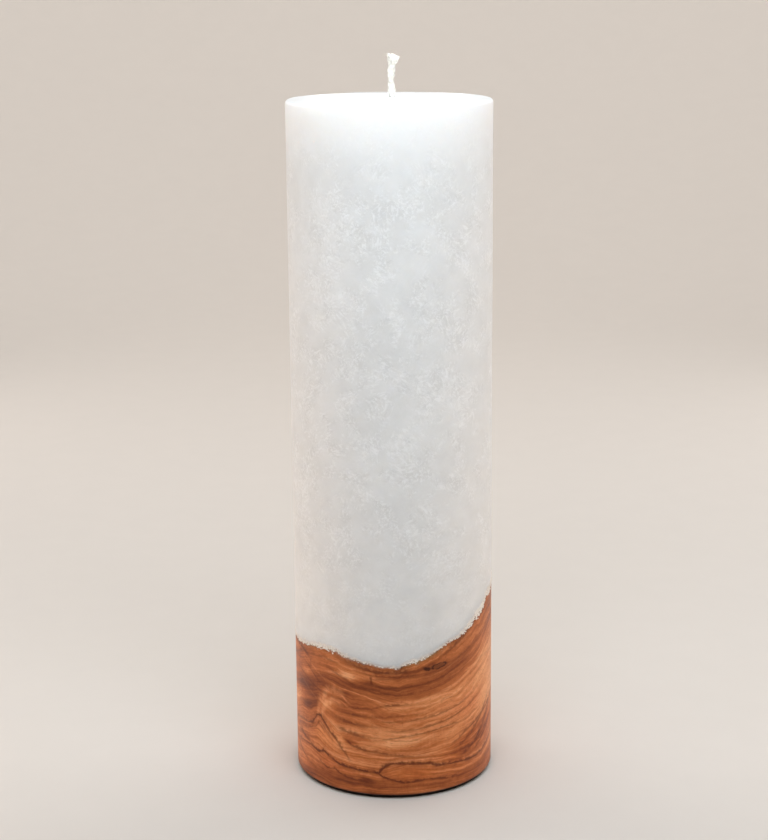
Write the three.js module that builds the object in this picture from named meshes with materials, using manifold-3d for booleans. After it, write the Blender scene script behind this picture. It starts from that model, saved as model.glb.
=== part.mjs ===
// A pillar unity candle cast onto a block of olive wood.
//
// The block keeps the natural, undulating outside of the log as its upper face, and
// the wax is poured straight onto that face. Wax and wood are then turned together,
// so that they share one straight cylinder wall. Hidden in the middle, a thin metal
// cup is let into the wood under the wick: it shields the block from the flame at the
// end of the burn, and takes a tealight afterwards. Three slanting holes bored in the
// log face fill with wax and key the pillar to the block.
//
// Millimetres, +Z up. The origin is the centre of the face that the candle stands on.
// Angles are measured about +Z from the front, -Y, towards +X.

import * as THREE from "three";
import { mergeVertices } from "three/addons/utils/BufferGeometryUtils.js";
import Module from "manifold-3d";

// ---- driving dimensions --------------------------------------------------------

const RADIUS = 40.3; // of wax and wood alike
const SEGMENTS = 96; // facets round the pillar
const GAP = 0.3; // clearance between pieces that are cast or fitted together

const FELT_RADIUS = 38.8;
const FELT_THICKNESS = 1.5;

const WOOD_BASE_Z = FELT_THICKNESS;
const WOOD_FOOT_ROUND = 0.8; // rounding of the block's lower edge

const WAX_TOP_Z = 274.1;
const WAX_RIM_ROUND = 1.6; // rounding of the pillar's upper edge

// Height of the log face where it meets the turned wall, every 5 degrees from the
// front. It is lowest in front and on the left, and climbs to the right and the back.
const EDGE_STEP = 5;
const EDGE_Z = [
  55.7, 56.7, 57.9, 58.9, 60.1, 61.4, 63.3, 64.5, 65.7,
  67.3, 69.4, 71.4, 72.8, 75.1, 77.1, 78.5, 79.8, 81.1,
  82.0, 82.9, 83.9, 84.7, 85.3, 85.2, 84.7, 83.7, 82.5,
  81.1, 79.7, 78.3, 76.8, 75.2, 73.6, 72.1, 70.9, 69.8,
  68.9, 68.3, 67.3, 66.3, 64.8, 63.2, 61.6, 60.1, 58.6,
  57.2, 55.8, 55.1, 54.6, 55.1, 55.7, 56.7, 57.7, 58.3,
  58.5, 58.3, 58.2, 58.2, 58.3, 58.7, 59.2, 59.7, 60.4,
  60.5, 60.8, 60.7, 59.5, 58.5, 57.7, 57.3, 56.4, 55.9,
];

const SEAT_RADIUS = 24; // flat milled into the log face for the cup's flange
const SEAT_Z = 52;
const RECESS_RADIUS = 20; // bored below the seat for the cup
const RECESS_Z = 36.2;

const CUP_OUTER_RADIUS = 19.7;
const CUP_WALL = 0.5;
const CUP_BASE_Z = 36.5;
const CUP_FLANGE_RADIUS = 21.6;

const SUSTAINER_RADIUS = 8;
const SUSTAINER_THICKNESS = 0.5;
const SUSTAINER_NECK_RADIUS = 2.15;
const SUSTAINER_BORE_RADIUS = 1.6;
const SUSTAINER_TOP_Z = 46;

const WICK_RADIUS = 1.25; // inside the wax
const WICK_TIP_Z = 290.7;
const WICK_OFFSET = 1; // how far off centre the wick leaves the wax, towards +X

const KEY_RADIUS = 4; // holes that the wax keys into
const KEY_DEPTH = 15;
const KEY_CENTRE_RADIUS = 31;
const KEY_TILT = 20; // degrees from upright, along the wall
const KEY_ANGLES = [60, 180, 300];

// ---- helpers --------------------------------------------------------------------

const wasm = await Module();
wasm.setup();
const TAU = Math.PI * 2;

// Height of the log face at the wall: a closed Catmull-Rom line through EDGE_Z.
function edgeHeight(angle) {
  const n = EDGE_Z.length;
  const u = ((((angle * 180) / Math.PI / EDGE_STEP) % n) + n) % n;
  const i = Math.floor(u);
  const t = u - i;
  const [a, b, c, d] = [-1, 0, 1, 2].map((k) => EDGE_Z[(i + k + n) % n]);
  return (
    b +
    0.5 * t * (c - a + t * (2 * a - 5 * b + 4 * c - d + t * (3 * (b - c) + d - a)))
  );
}

// The log face away from the wall follows from the wall line: each wave of the line
// fades towards the middle by its own power of the radius, as a stretched skin would.
const WAVES = 16;
const SAMPLES = 384;
const waves = Array.from({ length: WAVES + 1 }, (_, k) => {
  let c = 0;
  let s = 0;
  for (let i = 0; i < SAMPLES; i++) {
    const a = (TAU * i) / SAMPLES;
    c += edgeHeight(a) * Math.cos(k * a);
    s += edgeHeight(a) * Math.sin(k * a);
  }
  const scale = (k === 0 ? 1 : 2) / SAMPLES;
  return [c * scale, s * scale];
});
function logFace(r, angle) {
  if (r > RADIUS - 1e-6) return edgeHeight(angle);
  return waves.reduce(
    (z, [c, s], k) =>
      z + (c * Math.cos(k * angle) + s * Math.sin(k * angle)) * (r / RADIUS) ** k,
    0,
  );
}

// A body of revolution about +Z whose heights may vary with the angle: rows of
// { r, z }, where z is a number or a function of the angle, from the lower end of the
// axis outwards, up and back to the axis, or round a closed ring.
function turned(rows, segments = SEGMENTS) {
  const geometry = new THREE.LatheGeometry(
    rows.map(({ r }, j) => new THREE.Vector2(r, j)),
    segments,
  );
  const position = geometry.attributes.position;
  for (let i = 0; i <= segments; i++) {
    const angle = ((i % segments) / segments) * TAU;
    rows.forEach(({ z }, j) =>
      position.setY(i * rows.length + j, typeof z === "function" ? z(angle) : z),
    );
  }
  return geometry.rotateX(Math.PI / 2);
}

// A three.js geometry as a solid that can be joined and cut.
function solid(geometry) {
  const g = geometry.clone();
  g.deleteAttribute("normal");
  g.deleteAttribute("uv");
  const merged = mergeVertices(g, 1e-4);
  const index = merged.index.array;
  const triVerts = [];
  for (let i = 0; i < index.length; i += 3) {
    const [a, b, c] = [index[i], index[i + 1], index[i + 2]];
    if (a !== b && b !== c && a !== c) triVerts.push(a, b, c);
  }
  return new wasm.Manifold(
    new wasm.Mesh({
      numProp: 3,
      vertProperties: Float32Array.from(merged.attributes.position.array),
      triVerts: Uint32Array.from(triVerts),
    }),
  );
}

function geometryOf(manifold) {
  const mesh = manifold.getMesh();
  const vertices = new Float32Array(mesh.numVert * 3);
  for (let i = 0; i < mesh.numVert; i++)
    for (let k = 0; k < 3; k++)
      vertices[i * 3 + k] = mesh.vertProperties[i * mesh.numProp + k];
  const geometry = new THREE.BufferGeometry();
  geometry.setAttribute("position", new THREE.BufferAttribute(vertices, 3));
  geometry.setIndex(new THREE.BufferAttribute(mesh.triVerts, 1));
  geometry.computeVertexNormals();
  return geometry;
}

// An upright cylinder from z0 to z1.
function drum(r, z0, z1, segments = SEGMENTS) {
  return solid(
    turned(
      [
        { r: 0, z: z0 },
        { r, z: z0 },
        { r, z: z1 },
        { r: 0, z: z1 },
      ],
      segments,
    ),
  );
}

// A slanting key hole, or the wax peg in it: it starts above the log face and ends
// `depth` below it, leaning along the wall.
function key(degrees, radius, depth) {
  const angle = (degrees * Math.PI) / 180;
  const top = logFace(KEY_CENTRE_RADIUS, angle);
  const over = 8;
  const g = new THREE.CylinderGeometry(radius, radius, depth + over, 32);
  g.translate(0, (over - depth) / 2, 0);
  g.rotateX(Math.PI / 2);
  g.rotateY((KEY_TILT * Math.PI) / 180);
  g.translate(0, -KEY_CENTRE_RADIUS, top);
  g.rotateZ(angle);
  return solid(g);
}

// The wick's free end, [height above the wax, radius, centre towards +X]: it swells a
// little where it leaves the wax, is narrowest half way up, and flares at the cut.
const WICK_FREE_END = [
  [0, WICK_RADIUS, WICK_OFFSET],
  [1.2, 1.5, 1.05],
  [3.4, 1.49, 1.04],
  [5.2, 1.3, 0.89],
  [6.9, 1.15, 0.7],
  [10, 1.35, 0.91],
  [13.1, 1.63, 1.18],
  [14.5, 1.95, 1.48],
  [16.1, 2.4, 1.7],
  [WICK_TIP_Z - WAX_TOP_Z, 2.3, 1.6],
];

// Where the wick's centre lies at a height: upright in its holder, then drifting off
// centre on its way up through the wax.
function wickCentre(z) {
  if (z <= WAX_TOP_Z)
    return (
      WICK_OFFSET *
      Math.max(0, (z - SUSTAINER_TOP_Z) / (WAX_TOP_Z - SUSTAINER_TOP_Z))
    );
  const h = z - WAX_TOP_Z;
  const i = Math.max(
    1,
    WICK_FREE_END.findIndex((row) => row[0] >= h - 1e-3),
  );
  const [a, b] = [WICK_FREE_END[i - 1], WICK_FREE_END[i]];
  return a[2] + ((b[2] - a[2]) * (h - a[0])) / (b[0] - a[0]);
}
// Sweeps an upright turned geometry along the wick's line.
function alongWick(geometry) {
  const p = geometry.attributes.position;
  for (let i = 0; i < p.count; i++) p.setX(i, p.getX(i) + wickCentre(p.getZ(i)));
  return geometry;
}

// ---- the felt under the block ----------------------------------------------------

const feltPad = turned([
  { r: 0, z: 0 },
  { r: FELT_RADIUS - 0.25, z: 0 },
  { r: FELT_RADIUS, z: 0.25 },
  { r: FELT_RADIUS, z: FELT_THICKNESS },
  { r: 0, z: FELT_THICKNESS },
]);

// ---- the olive-wood block ---------------------------------------------------------

const LOG_RINGS = [36, 32, 28, 25, 20, 10];
const wall = (share) => (angle) =>
  WOOD_BASE_Z +
  WOOD_FOOT_ROUND +
  (edgeHeight(angle) - WOOD_BASE_Z - WOOD_FOOT_ROUND) * share;
let block = solid(
  turned([
    { r: 0, z: WOOD_BASE_Z },
    { r: RADIUS - WOOD_FOOT_ROUND, z: WOOD_BASE_Z },
    { r: RADIUS - WOOD_FOOT_ROUND * 0.29, z: WOOD_BASE_Z + WOOD_FOOT_ROUND * 0.29 },
    { r: RADIUS, z: WOOD_BASE_Z + WOOD_FOOT_ROUND },
    { r: RADIUS, z: wall(0.5) },
    { r: RADIUS, z: edgeHeight },
    ...LOG_RINGS.map((r) => ({ r, z: (angle) => logFace(r, angle) })),
    { r: 0, z: logFace(0, 0) },
  ]),
);
block = block
  .subtract(drum(SEAT_RADIUS, SEAT_Z, 120))
  .subtract(drum(RECESS_RADIUS, RECESS_Z, 120, 64));
for (const degrees of KEY_ANGLES)
  block = block.subtract(key(degrees, KEY_RADIUS, KEY_DEPTH));

// ---- the metal cup let into the block ----------------------------------------------

const CUP_FLOOR_Z = CUP_BASE_Z + CUP_WALL;
const insertCup = turned(
  [
    { r: 0, z: CUP_BASE_Z },
    { r: CUP_OUTER_RADIUS - 1.2, z: CUP_BASE_Z },
    { r: CUP_OUTER_RADIUS - 0.35, z: CUP_BASE_Z + 0.35 },
    { r: CUP_OUTER_RADIUS, z: CUP_BASE_Z + 1.2 },
    { r: CUP_OUTER_RADIUS, z: SEAT_Z },
    { r: CUP_FLANGE_RADIUS, z: SEAT_Z },
    { r: CUP_FLANGE_RADIUS, z: SEAT_Z + CUP_WALL },
    { r: CUP_OUTER_RADIUS - CUP_WALL, z: SEAT_Z + CUP_WALL },
    { r: CUP_OUTER_RADIUS - CUP_WALL, z: CUP_BASE_Z + 1.35 },
    { r: CUP_OUTER_RADIUS - CUP_WALL - 0.25, z: CUP_BASE_Z + 0.75 },
    { r: CUP_OUTER_RADIUS - 1.35, z: CUP_FLOOR_Z },
    { r: 0, z: CUP_FLOOR_Z },
  ],
  64,
);

// ---- the wick holder standing in the cup --------------------------------------------

const sustainer = turned(
  [
    { r: SUSTAINER_BORE_RADIUS, z: CUP_FLOOR_Z },
    { r: SUSTAINER_RADIUS, z: CUP_FLOOR_Z },
    { r: SUSTAINER_RADIUS, z: CUP_FLOOR_Z + SUSTAINER_THICKNESS },
    { r: 4.4, z: CUP_FLOOR_Z + SUSTAINER_THICKNESS },
    { r: 2.9, z: CUP_FLOOR_Z + 1.1 },
    { r: SUSTAINER_NECK_RADIUS, z: CUP_FLOOR_Z + 2.2 },
    { r: SUSTAINER_NECK_RADIUS, z: SUSTAINER_TOP_Z },
    { r: SUSTAINER_BORE_RADIUS, z: SUSTAINER_TOP_Z },
    { r: SUSTAINER_BORE_RADIUS, z: CUP_FLOOR_Z },
  ],
  40,
);

// ---- the braided wick ------------------------------------------------------------------

const WICK_ROWS = [
  [1.1, CUP_FLOOR_Z + 0.3],
  [WICK_RADIUS, CUP_FLOOR_Z + 0.8],
  [WICK_RADIUS, SUSTAINER_TOP_Z],
  [WICK_RADIUS, 160],
  ...WICK_FREE_END.map(([h, r]) => [r, WAX_TOP_Z + h]),
];
const wick = alongWick(
  turned(
    [
      { r: 0, z: WICK_ROWS[0][1] },
      ...WICK_ROWS.map(([r, z]) => ({ r, z })),
      { r: 0, z: WICK_TIP_Z },
    ],
    20,
  ),
);
// The hole that the wick fills in the wax.
const wickHole = solid(
  alongWick(
    turned(
      [
        { r: 0, z: CUP_FLOOR_Z },
        { r: WICK_RADIUS + GAP, z: CUP_FLOOR_Z },
        { r: WICK_RADIUS + GAP, z: SUSTAINER_TOP_Z },
        { r: WICK_RADIUS + GAP, z: 160 },
        { r: WICK_RADIUS + GAP, z: WAX_TOP_Z - 0.5 },
        { r: WICK_RADIUS + GAP, z: WAX_TOP_Z + 1 },
        { r: 0, z: WAX_TOP_Z + 1 },
      ],
      20,
    ),
  ),
);

// ---- the cast wax ------------------------------------------------------------------------

const rim = (degrees) => {
  const a = (degrees * Math.PI) / 180;
  return {
    r: RADIUS - WAX_RIM_ROUND * (1 - Math.cos(a)),
    z: WAX_TOP_Z - WAX_RIM_ROUND * (1 - Math.sin(a)),
  };
};
let wax = solid(
  turned([
    { r: 0, z: logFace(0, 0) + GAP },
    ...[...LOG_RINGS]
      .reverse()
      .map((r) => ({ r, z: (angle) => logFace(r, angle) + GAP })),
    { r: RADIUS, z: (angle) => edgeHeight(angle) + GAP },
    { r: RADIUS, z: 120 },
    { r: RADIUS, z: 196 },
    ...[0, 18, 36, 54, 72, 90].map(rim),
    { r: 20, z: WAX_TOP_Z },
    { r: 0, z: WAX_TOP_Z },
  ]),
);
wax = wax
  .add(drum(SEAT_RADIUS - GAP, SEAT_Z + GAP, 100))
  .subtract(
    drum(CUP_FLANGE_RADIUS + GAP, SEAT_Z - 1, SEAT_Z + CUP_WALL + GAP, 64),
  )
  .add(
    solid(
      turned(
        [
          { r: 0, z: CUP_FLOOR_Z + GAP },
          { r: CUP_OUTER_RADIUS - CUP_WALL - GAP - 1, z: CUP_FLOOR_Z + GAP },
          { r: CUP_OUTER_RADIUS - CUP_WALL - GAP, z: CUP_FLOOR_Z + GAP + 1 },
          { r: CUP_OUTER_RADIUS - CUP_WALL - GAP, z: 100 },
          { r: 0, z: 100 },
        ],
        64,
      ),
    ),
  );
for (const degrees of KEY_ANGLES)
  wax = wax.add(key(degrees, KEY_RADIUS - GAP, KEY_DEPTH - GAP));
wax = wax
  .subtract(
    solid(
      turned(
        [
          { r: 0, z: CUP_FLOOR_Z },
          { r: SUSTAINER_RADIUS + GAP, z: CUP_FLOOR_Z },
          {
            r: SUSTAINER_RADIUS + GAP,
            z: CUP_FLOOR_Z + SUSTAINER_THICKNESS + GAP,
          },
          { r: 4.55, z: CUP_FLOOR_Z + SUSTAINER_THICKNESS + GAP },
          { r: 3.2, z: CUP_FLOOR_Z + 1.4 },
          { r: SUSTAINER_NECK_RADIUS + GAP, z: CUP_FLOOR_Z + 2.5 },
          { r: SUSTAINER_NECK_RADIUS + GAP, z: SUSTAINER_TOP_Z + GAP },
          { r: 0, z: SUSTAINER_TOP_Z + GAP },
        ],
        40,
      ),
    ),
  )
  .subtract(wickHole);

// ---- materials and assembly -----------------------------------------------------------------

const finish = (color, roughness, metalness = 0) =>
  new THREE.MeshStandardMaterial({ color, roughness, metalness });
const materials = {
  wax: finish(0xe6e4e0, 0.5),
  olive_wood: finish(0xa8683f, 0.45),
  tinplate: finish(0xc6c8ca, 0.35, 1),
  cotton: finish(0xf4f1e8, 0.9),
  felt: finish(0x33291f, 0.95),
};

const candle = new THREE.Group();
const add = (name, geometry, material) => {
  const mesh = new THREE.Mesh(geometry, material);
  mesh.name = name;
  candle.add(mesh);
};
add("felt_pad", feltPad, materials.felt);
add("wood_base", geometryOf(block), materials.olive_wood);
add("insert_cup", insertCup, materials.tinplate);
add("wick_sustainer", sustainer, materials.tinplate);
add("wick", wick, materials.cotton);
add("wax_body", geometryOf(wax), materials.wax);

export default candle;
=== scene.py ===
import math

import bpy
import numpy as np
from mathutils import Matrix, Vector


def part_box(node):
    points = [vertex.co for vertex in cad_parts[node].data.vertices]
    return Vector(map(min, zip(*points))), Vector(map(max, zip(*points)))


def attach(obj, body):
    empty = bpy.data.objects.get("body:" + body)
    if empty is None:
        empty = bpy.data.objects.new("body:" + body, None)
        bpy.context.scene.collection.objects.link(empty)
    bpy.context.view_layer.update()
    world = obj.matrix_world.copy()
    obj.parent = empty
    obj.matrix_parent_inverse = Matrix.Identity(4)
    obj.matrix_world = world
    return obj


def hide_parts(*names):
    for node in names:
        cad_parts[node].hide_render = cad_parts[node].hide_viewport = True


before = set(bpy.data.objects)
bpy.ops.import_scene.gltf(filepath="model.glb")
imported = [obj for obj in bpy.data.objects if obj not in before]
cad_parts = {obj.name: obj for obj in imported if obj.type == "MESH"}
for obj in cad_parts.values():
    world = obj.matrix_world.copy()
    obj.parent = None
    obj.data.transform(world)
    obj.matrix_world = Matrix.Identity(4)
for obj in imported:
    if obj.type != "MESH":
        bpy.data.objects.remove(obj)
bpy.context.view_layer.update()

MM = 0.001
TAU = 2 * math.pi


def box_mm(node):
    low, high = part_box(node)
    return np.array(low) / MM, np.array(high) / MM


FELT_LOW, FELT_HIGH = box_mm("felt_pad")
WOOD_LOW, WOOD_HIGH = box_mm("wood_base")
WAX_LOW, WAX_HIGH = box_mm("wax_body")
WICK_LOW, WICK_HIGH = box_mm("wick")
CUP_LOW, CUP_HIGH = box_mm("insert_cup")
HOLDER_LOW, HOLDER_HIGH = box_mm("wick_sustainer")

R = float(WAX_HIGH[0])  # the shared wall of wax and wood
WOOD_Z = float(WOOD_LOW[2])
FOOT = 0.8  # rounding of the wood's lower edge
FLOOR_LINE = WOOD_Z + 0.27
EDGE_ZERO = WOOD_Z + 0.64  # the heights of the live edge are counted from here
WAX_TOP = float(WAX_HIGH[2])
RIM = 1.6  # rounding of the wax's upper edge
WICK_TIP = float(WICK_HIGH[2])

scene = bpy.context.scene
scene.view_settings.view_transform = "Standard"
scene.view_settings.look = "None"
scene.view_settings.exposure = 0
scene.view_settings.gamma = 1

# ---------------------------------------------------------------- camera ----------


def place_camera():
    yaw, pitch, roll = -0.00407278089, 0.23528588, -0.00905462936
    cy, sy = math.cos(yaw), math.sin(yaw)
    cp, sp = math.cos(pitch), math.sin(pitch)
    cr, sr = math.cos(roll), math.sin(roll)
    forward = Vector((cp * sy, cp * cy, -sp))
    right = Vector((cr * cy, -cr * sy, 0)) + sr * Vector((sp * sy, sp * cy, cp))
    up = -sr * Vector((cy, -sy, 0)) + cr * Vector((sp * sy, sp * cy, cp))
    data = bpy.data.cameras.new("camera")
    data.sensor_width = 36
    data.lens = 1930.92984 * 36 / 840
    data.clip_start, data.clip_end = 0.05, 20
    camera = bpy.data.objects.new("camera", data)
    scene.collection.objects.link(camera)
    m = Matrix((right, up, -forward)).transposed().to_4x4()
    m.translation = Vector((0, -18.7377582 * R, 8.07713795 * R + FLOOR_LINE)) * MM
    camera.matrix_world = m
    scene.camera = camera


place_camera()

# ---------------------------------------------------------------- helpers ---------


def smooth_noise(rows, cols, sigma_rows, sigma_cols, seed):
    """A seeded field of unit spread, periodic both ways, blurred by those many samples."""
    a = np.random.RandomState(seed).standard_normal((rows, cols))
    kr = np.fft.fftfreq(rows)[:, None] * sigma_rows
    kc = np.fft.fftfreq(cols)[None, :] * sigma_cols
    b = np.fft.ifft2(np.fft.fft2(a) * np.exp(-2 * np.pi**2 * (kr**2 + kc**2))).real
    b -= b.mean()
    return b / b.std()


def ring_noise(n, sigma, seed):
    return smooth_noise(1, n, 1e-9, sigma, seed)[0]


def build(name, verts_mm, faces, smooth=True):
    me = bpy.data.meshes.new(name)
    me.from_pydata((np.asarray(verts_mm) * MM).tolist(), [], faces)
    me.validate()
    me.update()
    if smooth:
        me.polygons.foreach_set("use_smooth", np.ones(len(me.polygons), bool))
    ob = bpy.data.objects.new(name, me)
    scene.collection.objects.link(ob)
    return ob


def revolve(rows, n, closed=False):
    """Vertices and faces of a body of revolution about +Z. A row is (r, z) or
    (r, z, dx), each a number or one value for each of the n angles. The rows run from
    the axis outwards, up and back, or, if closed, round a ring."""
    ang = np.arange(n) * TAU / n
    verts, ids = [], []
    count = 0
    for row in rows:
        r, z = row[0], row[1]
        dx = row[2] if len(row) > 2 else 0
        if np.isscalar(r) and r == 0:
            verts.append(np.array([[dx, 0, float(np.mean(z))]]))
            ids.append(np.full(n, count))
            count += 1
        else:
            ring = np.zeros((n, 3))
            ring[:, 0] = r * np.sin(ang) + dx
            ring[:, 1] = -r * np.cos(ang)
            ring[:, 2] = z
            verts.append(ring)
            ids.append(np.arange(count, count + n))
            count += n
    faces = []
    pairs = list(zip(range(len(ids) - 1), range(1, len(ids))))
    if closed:
        pairs.append((len(ids) - 1, 0))
    for a, b in pairs:
        lo, hi = ids[a], ids[b]
        lo2, hi2 = np.roll(lo, -1), np.roll(hi, -1)
        if lo[0] == lo[-1]:
            faces += np.stack([lo, hi2, hi], 1).tolist()
        elif hi[0] == hi[-1]:
            faces += np.stack([lo, lo2, hi], 1).tolist()
        else:
            faces += np.stack([lo, lo2, hi2, hi], 1).tolist()
    return np.concatenate(verts), faces


def tubes(paths, sides):
    """Closed tubes along paths: each is (points, radii), with radii a number or one
    for each point."""
    verts, faces = [], []
    base = 0
    ring = np.arange(sides) * TAU / sides
    for points, radii in paths:
        p = np.asarray(points, float)
        m = len(p)
        radii = np.broadcast_to(np.asarray(radii, float), (m,))
        t = np.gradient(p, axis=0)
        t /= np.linalg.norm(t, axis=1)[:, None] + 1e-12
        u = np.cross(t[0], [0.31, 0.92, 0.23])
        u /= np.linalg.norm(u)
        for i in range(m):
            u = u - t[i] * (u @ t[i])
            u /= np.linalg.norm(u)
            v = np.cross(t[i], u)
            verts.append(
                p[i]
                + radii[i] * (np.cos(ring)[:, None] * u + np.sin(ring)[:, None] * v)
            )
        for i in range(m - 1):
            for k in range(sides):
                a, b = base + i * sides + k, base + i * sides + (k + 1) % sides
                faces.append((a, b, b + sides, a + sides))
        faces.append(tuple(base + k for k in reversed(range(sides))))
        faces.append(tuple(base + (m - 1) * sides + k for k in range(sides)))
        base += m * sides
    return np.concatenate(verts), faces


def attribute(ob, name, values):
    values = np.asarray(values, np.float32)
    vector = values.ndim == 2
    at = ob.data.attributes.new(name, "FLOAT_VECTOR" if vector else "FLOAT", "POINT")
    at.data.foreach_set("vector" if vector else "value", np.ravel(values))


def positions(ob):
    co = np.zeros(len(ob.data.vertices) * 3, np.float32)
    ob.data.vertices.foreach_get("co", co)
    return co.reshape(-1, 3).astype(float) / MM


def srgb(r, g, b):
    def lin(c):
        c /= 255
        return c / 12.92 if c <= 0.04045 else ((c + 0.055) / 1.055) ** 2.4

    return (lin(r), lin(g), lin(b), 1)


class Nodes:
    """Short calls for building a node material."""

    def __init__(self, name):
        self.material = bpy.data.materials.new(name)
        self.material.use_nodes = True
        self.tree = self.material.node_tree
        self.tree.nodes.clear()
        self.out = self.tree.nodes.new("ShaderNodeOutputMaterial")
        self.bsdf = self.tree.nodes.new("ShaderNodeBsdfPrincipled")
        self.tree.links.new(self.bsdf.outputs[0], self.out.inputs[0])

    def put(self, socket, value):
        if isinstance(value, bpy.types.NodeSocket):
            self.tree.links.new(value, socket)
        elif value is not None:
            socket.default_value = value

    def node(self, kind, **settings):
        n = self.tree.nodes.new("ShaderNode" + kind)
        for k, v in settings.items():
            setattr(n, k, v)
        return n

    def math(self, op, a, b=None, c=None, clamp=False):
        n = self.node("Math", operation=op, use_clamp=clamp)
        for i, v in enumerate((a, b, c)):
            if v is not None:
                self.put(n.inputs[i], v)
        return n.outputs[0]

    def add(self, a, b):
        return self.math("ADD", a, b)

    def sub(self, a, b):
        return self.math("SUBTRACT", a, b)

    def mul(self, a, b):
        return self.math("MULTIPLY", a, b)

    def vec(self, op, a, b=None, scale=None):
        n = self.node("VectorMath", operation=op)
        self.put(n.inputs[0], a)
        if b is not None:
            self.put(n.inputs[1], b)
        if scale is not None:
            self.put(n.inputs["Scale"], scale)
        return n.outputs["Value" if op in ("DOT_PRODUCT", "LENGTH") else "Vector"]

    def combine(self, x, y, z):
        n = self.node("CombineXYZ")
        for i, v in enumerate((x, y, z)):
            self.put(n.inputs[i], v)
        return n.outputs[0]

    def split(self, v):
        n = self.node("SeparateXYZ")
        self.put(n.inputs[0], v)
        return n.outputs

    def attr(self, name, vector=False):
        n = self.node("Attribute", attribute_type="GEOMETRY", attribute_name=name)
        return n.outputs["Vector" if vector else "Fac"]

    def noise(self, vector, scale=1.0, detail=2.0, rough=0.5, distort=0.0):
        n = self.node("TexNoise")
        self.put(n.inputs["Vector"], vector)
        n.inputs["Scale"].default_value = scale
        n.inputs["Detail"].default_value = detail
        n.inputs["Roughness"].default_value = rough
        n.inputs["Distortion"].default_value = distort
        return n.outputs[0]

    def range(self, v, lo, hi, to_lo=0.0, to_hi=1.0, smooth=True):
        n = self.node(
            "MapRange", interpolation_type="SMOOTHSTEP" if smooth else "LINEAR"
        )
        n.clamp = True
        for name, x in (
            ("Value", v),
            ("From Min", lo),
            ("From Max", hi),
            ("To Min", to_lo),
            ("To Max", to_hi),
        ):
            self.put(n.inputs[name], x)
        return n.outputs[0]

    def mix(self, fac, a, b, blend="MIX"):
        n = self.node("Mix", data_type="RGBA", blend_type=blend)
        n.clamp_factor = True
        self.put(n.inputs[0], fac)
        self.put(n.inputs[6], a)
        self.put(n.inputs[7], b)
        return n.outputs[2]

    def ramp(self, fac, stops, mode="LINEAR"):
        n = self.node("ValToRGB")
        n.color_ramp.interpolation = mode
        while len(n.color_ramp.elements) < len(stops):
            n.color_ramp.elements.new(0.5)
        for e, (p, c) in zip(n.color_ramp.elements, stops):
            e.position = p
            e.color = c
        self.put(n.inputs[0], fac)
        return n.outputs[0]

    def bump(self, height, distance, strength=1.0, normal=None):
        n = self.node("Bump")
        n.inputs["Strength"].default_value = strength
        n.inputs["Distance"].default_value = distance
        self.put(n.inputs["Height"], height)
        if normal is not None:
            self.put(n.inputs["Normal"], normal)
        return n.outputs[0]

    def place(self):
        """Position in millimetres, in the object's own frame."""
        n = self.node("TexCoord")
        return self.vec("SCALE", n.outputs["Object"], scale=1000.0)

    def set(self, **values):
        for k, v in values.items():
            self.put(self.bsdf.inputs[k.replace("_", " ")], v)


# ---------------------------------------------------------------- the live edge ----
# Heights of the log face where it meets the turned wall, in millimetres above the
# wood's lower edge, against the angle from the front towards +X.

EDGE_POINTS = [
    (-92, 56.4), (-86, 56.2), (-81.5, 56.1), (-77, 56.1), (-72, 55.9), (-67.3, 56.4), (-60.1, 57.0), (-53.0, 57.83),
    (-49.4, 58.33), (-42.2, 58.42), (-38.7, 58.75), (-35.1, 58.75), (-31.5, 57.75),
    (-27.9, 56.83), (-24.3, 56.25), (-20.8, 55.67), (-17.2, 55.17), (-13.6, 55.17),
    (-10, 54.25), (-6.4, 53.75), (-2.9, 53.75), (0.7, 53.55), (2.4, 53.5), (3.6, 53.9),
    (5.2, 54.8), (7.9, 55.42), (11.5, 56.08), (15, 56.75), (18.6, 57.67), (22.2, 58.42),
    (25.8, 59.5), (29.4, 60.83), (32.9, 62.42), (36.5, 62.33), (40.1, 63.58),
    (43.7, 64.67), (47.2, 65.92), (50.8, 67.67), (54.4, 69.17), (58, 69.75),
    (61.6, 71.1), (65.1, 73.5), (68.7, 75.1), (72.3, 75.7), (76, 76.4), (83, 78.6),
    (92, 80.2), (101, 82.0), (110, 83.2), (118, 83.0), (127, 81.2), (137, 78.4),
    (147, 75.6), (157, 72.4), (167, 69.4), (177, 67.2), (186, 66.0), (195, 64.2),
    (204, 61.4), (212, 58.8), (221, 56.2), (230, 53.6), (240, 52.4), (249, 53.4),
    (258, 55.2), (263, 56.0),
]  # fmt: skip
N = 720  # columns round the wall
COLUMN = np.arange(N) * 360.0 / N


def periodic(points, x, period):
    """Values at x of the closed polyline through points."""
    p = np.array(sorted((a % period, b) for a, b in points))
    xs = np.concatenate([p[:, 0] - period, p[:, 0], p[:, 0] + period])
    ys = np.tile(p[:, 1], 3)
    xs, keep = np.unique(xs, return_index=True)
    return np.interp(np.mod(x, period), xs, ys[keep])


def blur(values, sigma):
    k = np.fft.fftfreq(len(values)) * sigma
    return np.fft.ifft(np.fft.fft(values) * np.exp(-2 * np.pi**2 * k**2)).real


def wrap(a, period):
    return (a + period / 2) % period - period / 2


# How ragged and frosted with wax the bark line is, round the wall.
FROST = np.full(N, 0.22)
for centre, width, amount in (
    (64, 17, 0.9), (83, 9, 0.5), (-46, 13, 0.5), (12, 6, 0.25), (132, 22, 0.7),
    (175, 9, 0.5), (204, 13, 0.65), (246, 12, 0.75), (287, 9, 0.3),
):  # fmt: skip
    FROST += amount * np.exp(-0.5 * (wrap(COLUMN - centre, 360) / width) ** 2)
FROST = np.clip(FROST, 0, 1)


def bumps(*specs):
    total = np.zeros(N)
    for centre, width, amount in specs:
        total += amount * np.exp(-0.5 * (wrap(COLUMN - centre, 360) / width) ** 2)
    return np.clip(total, 0, 1)


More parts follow.
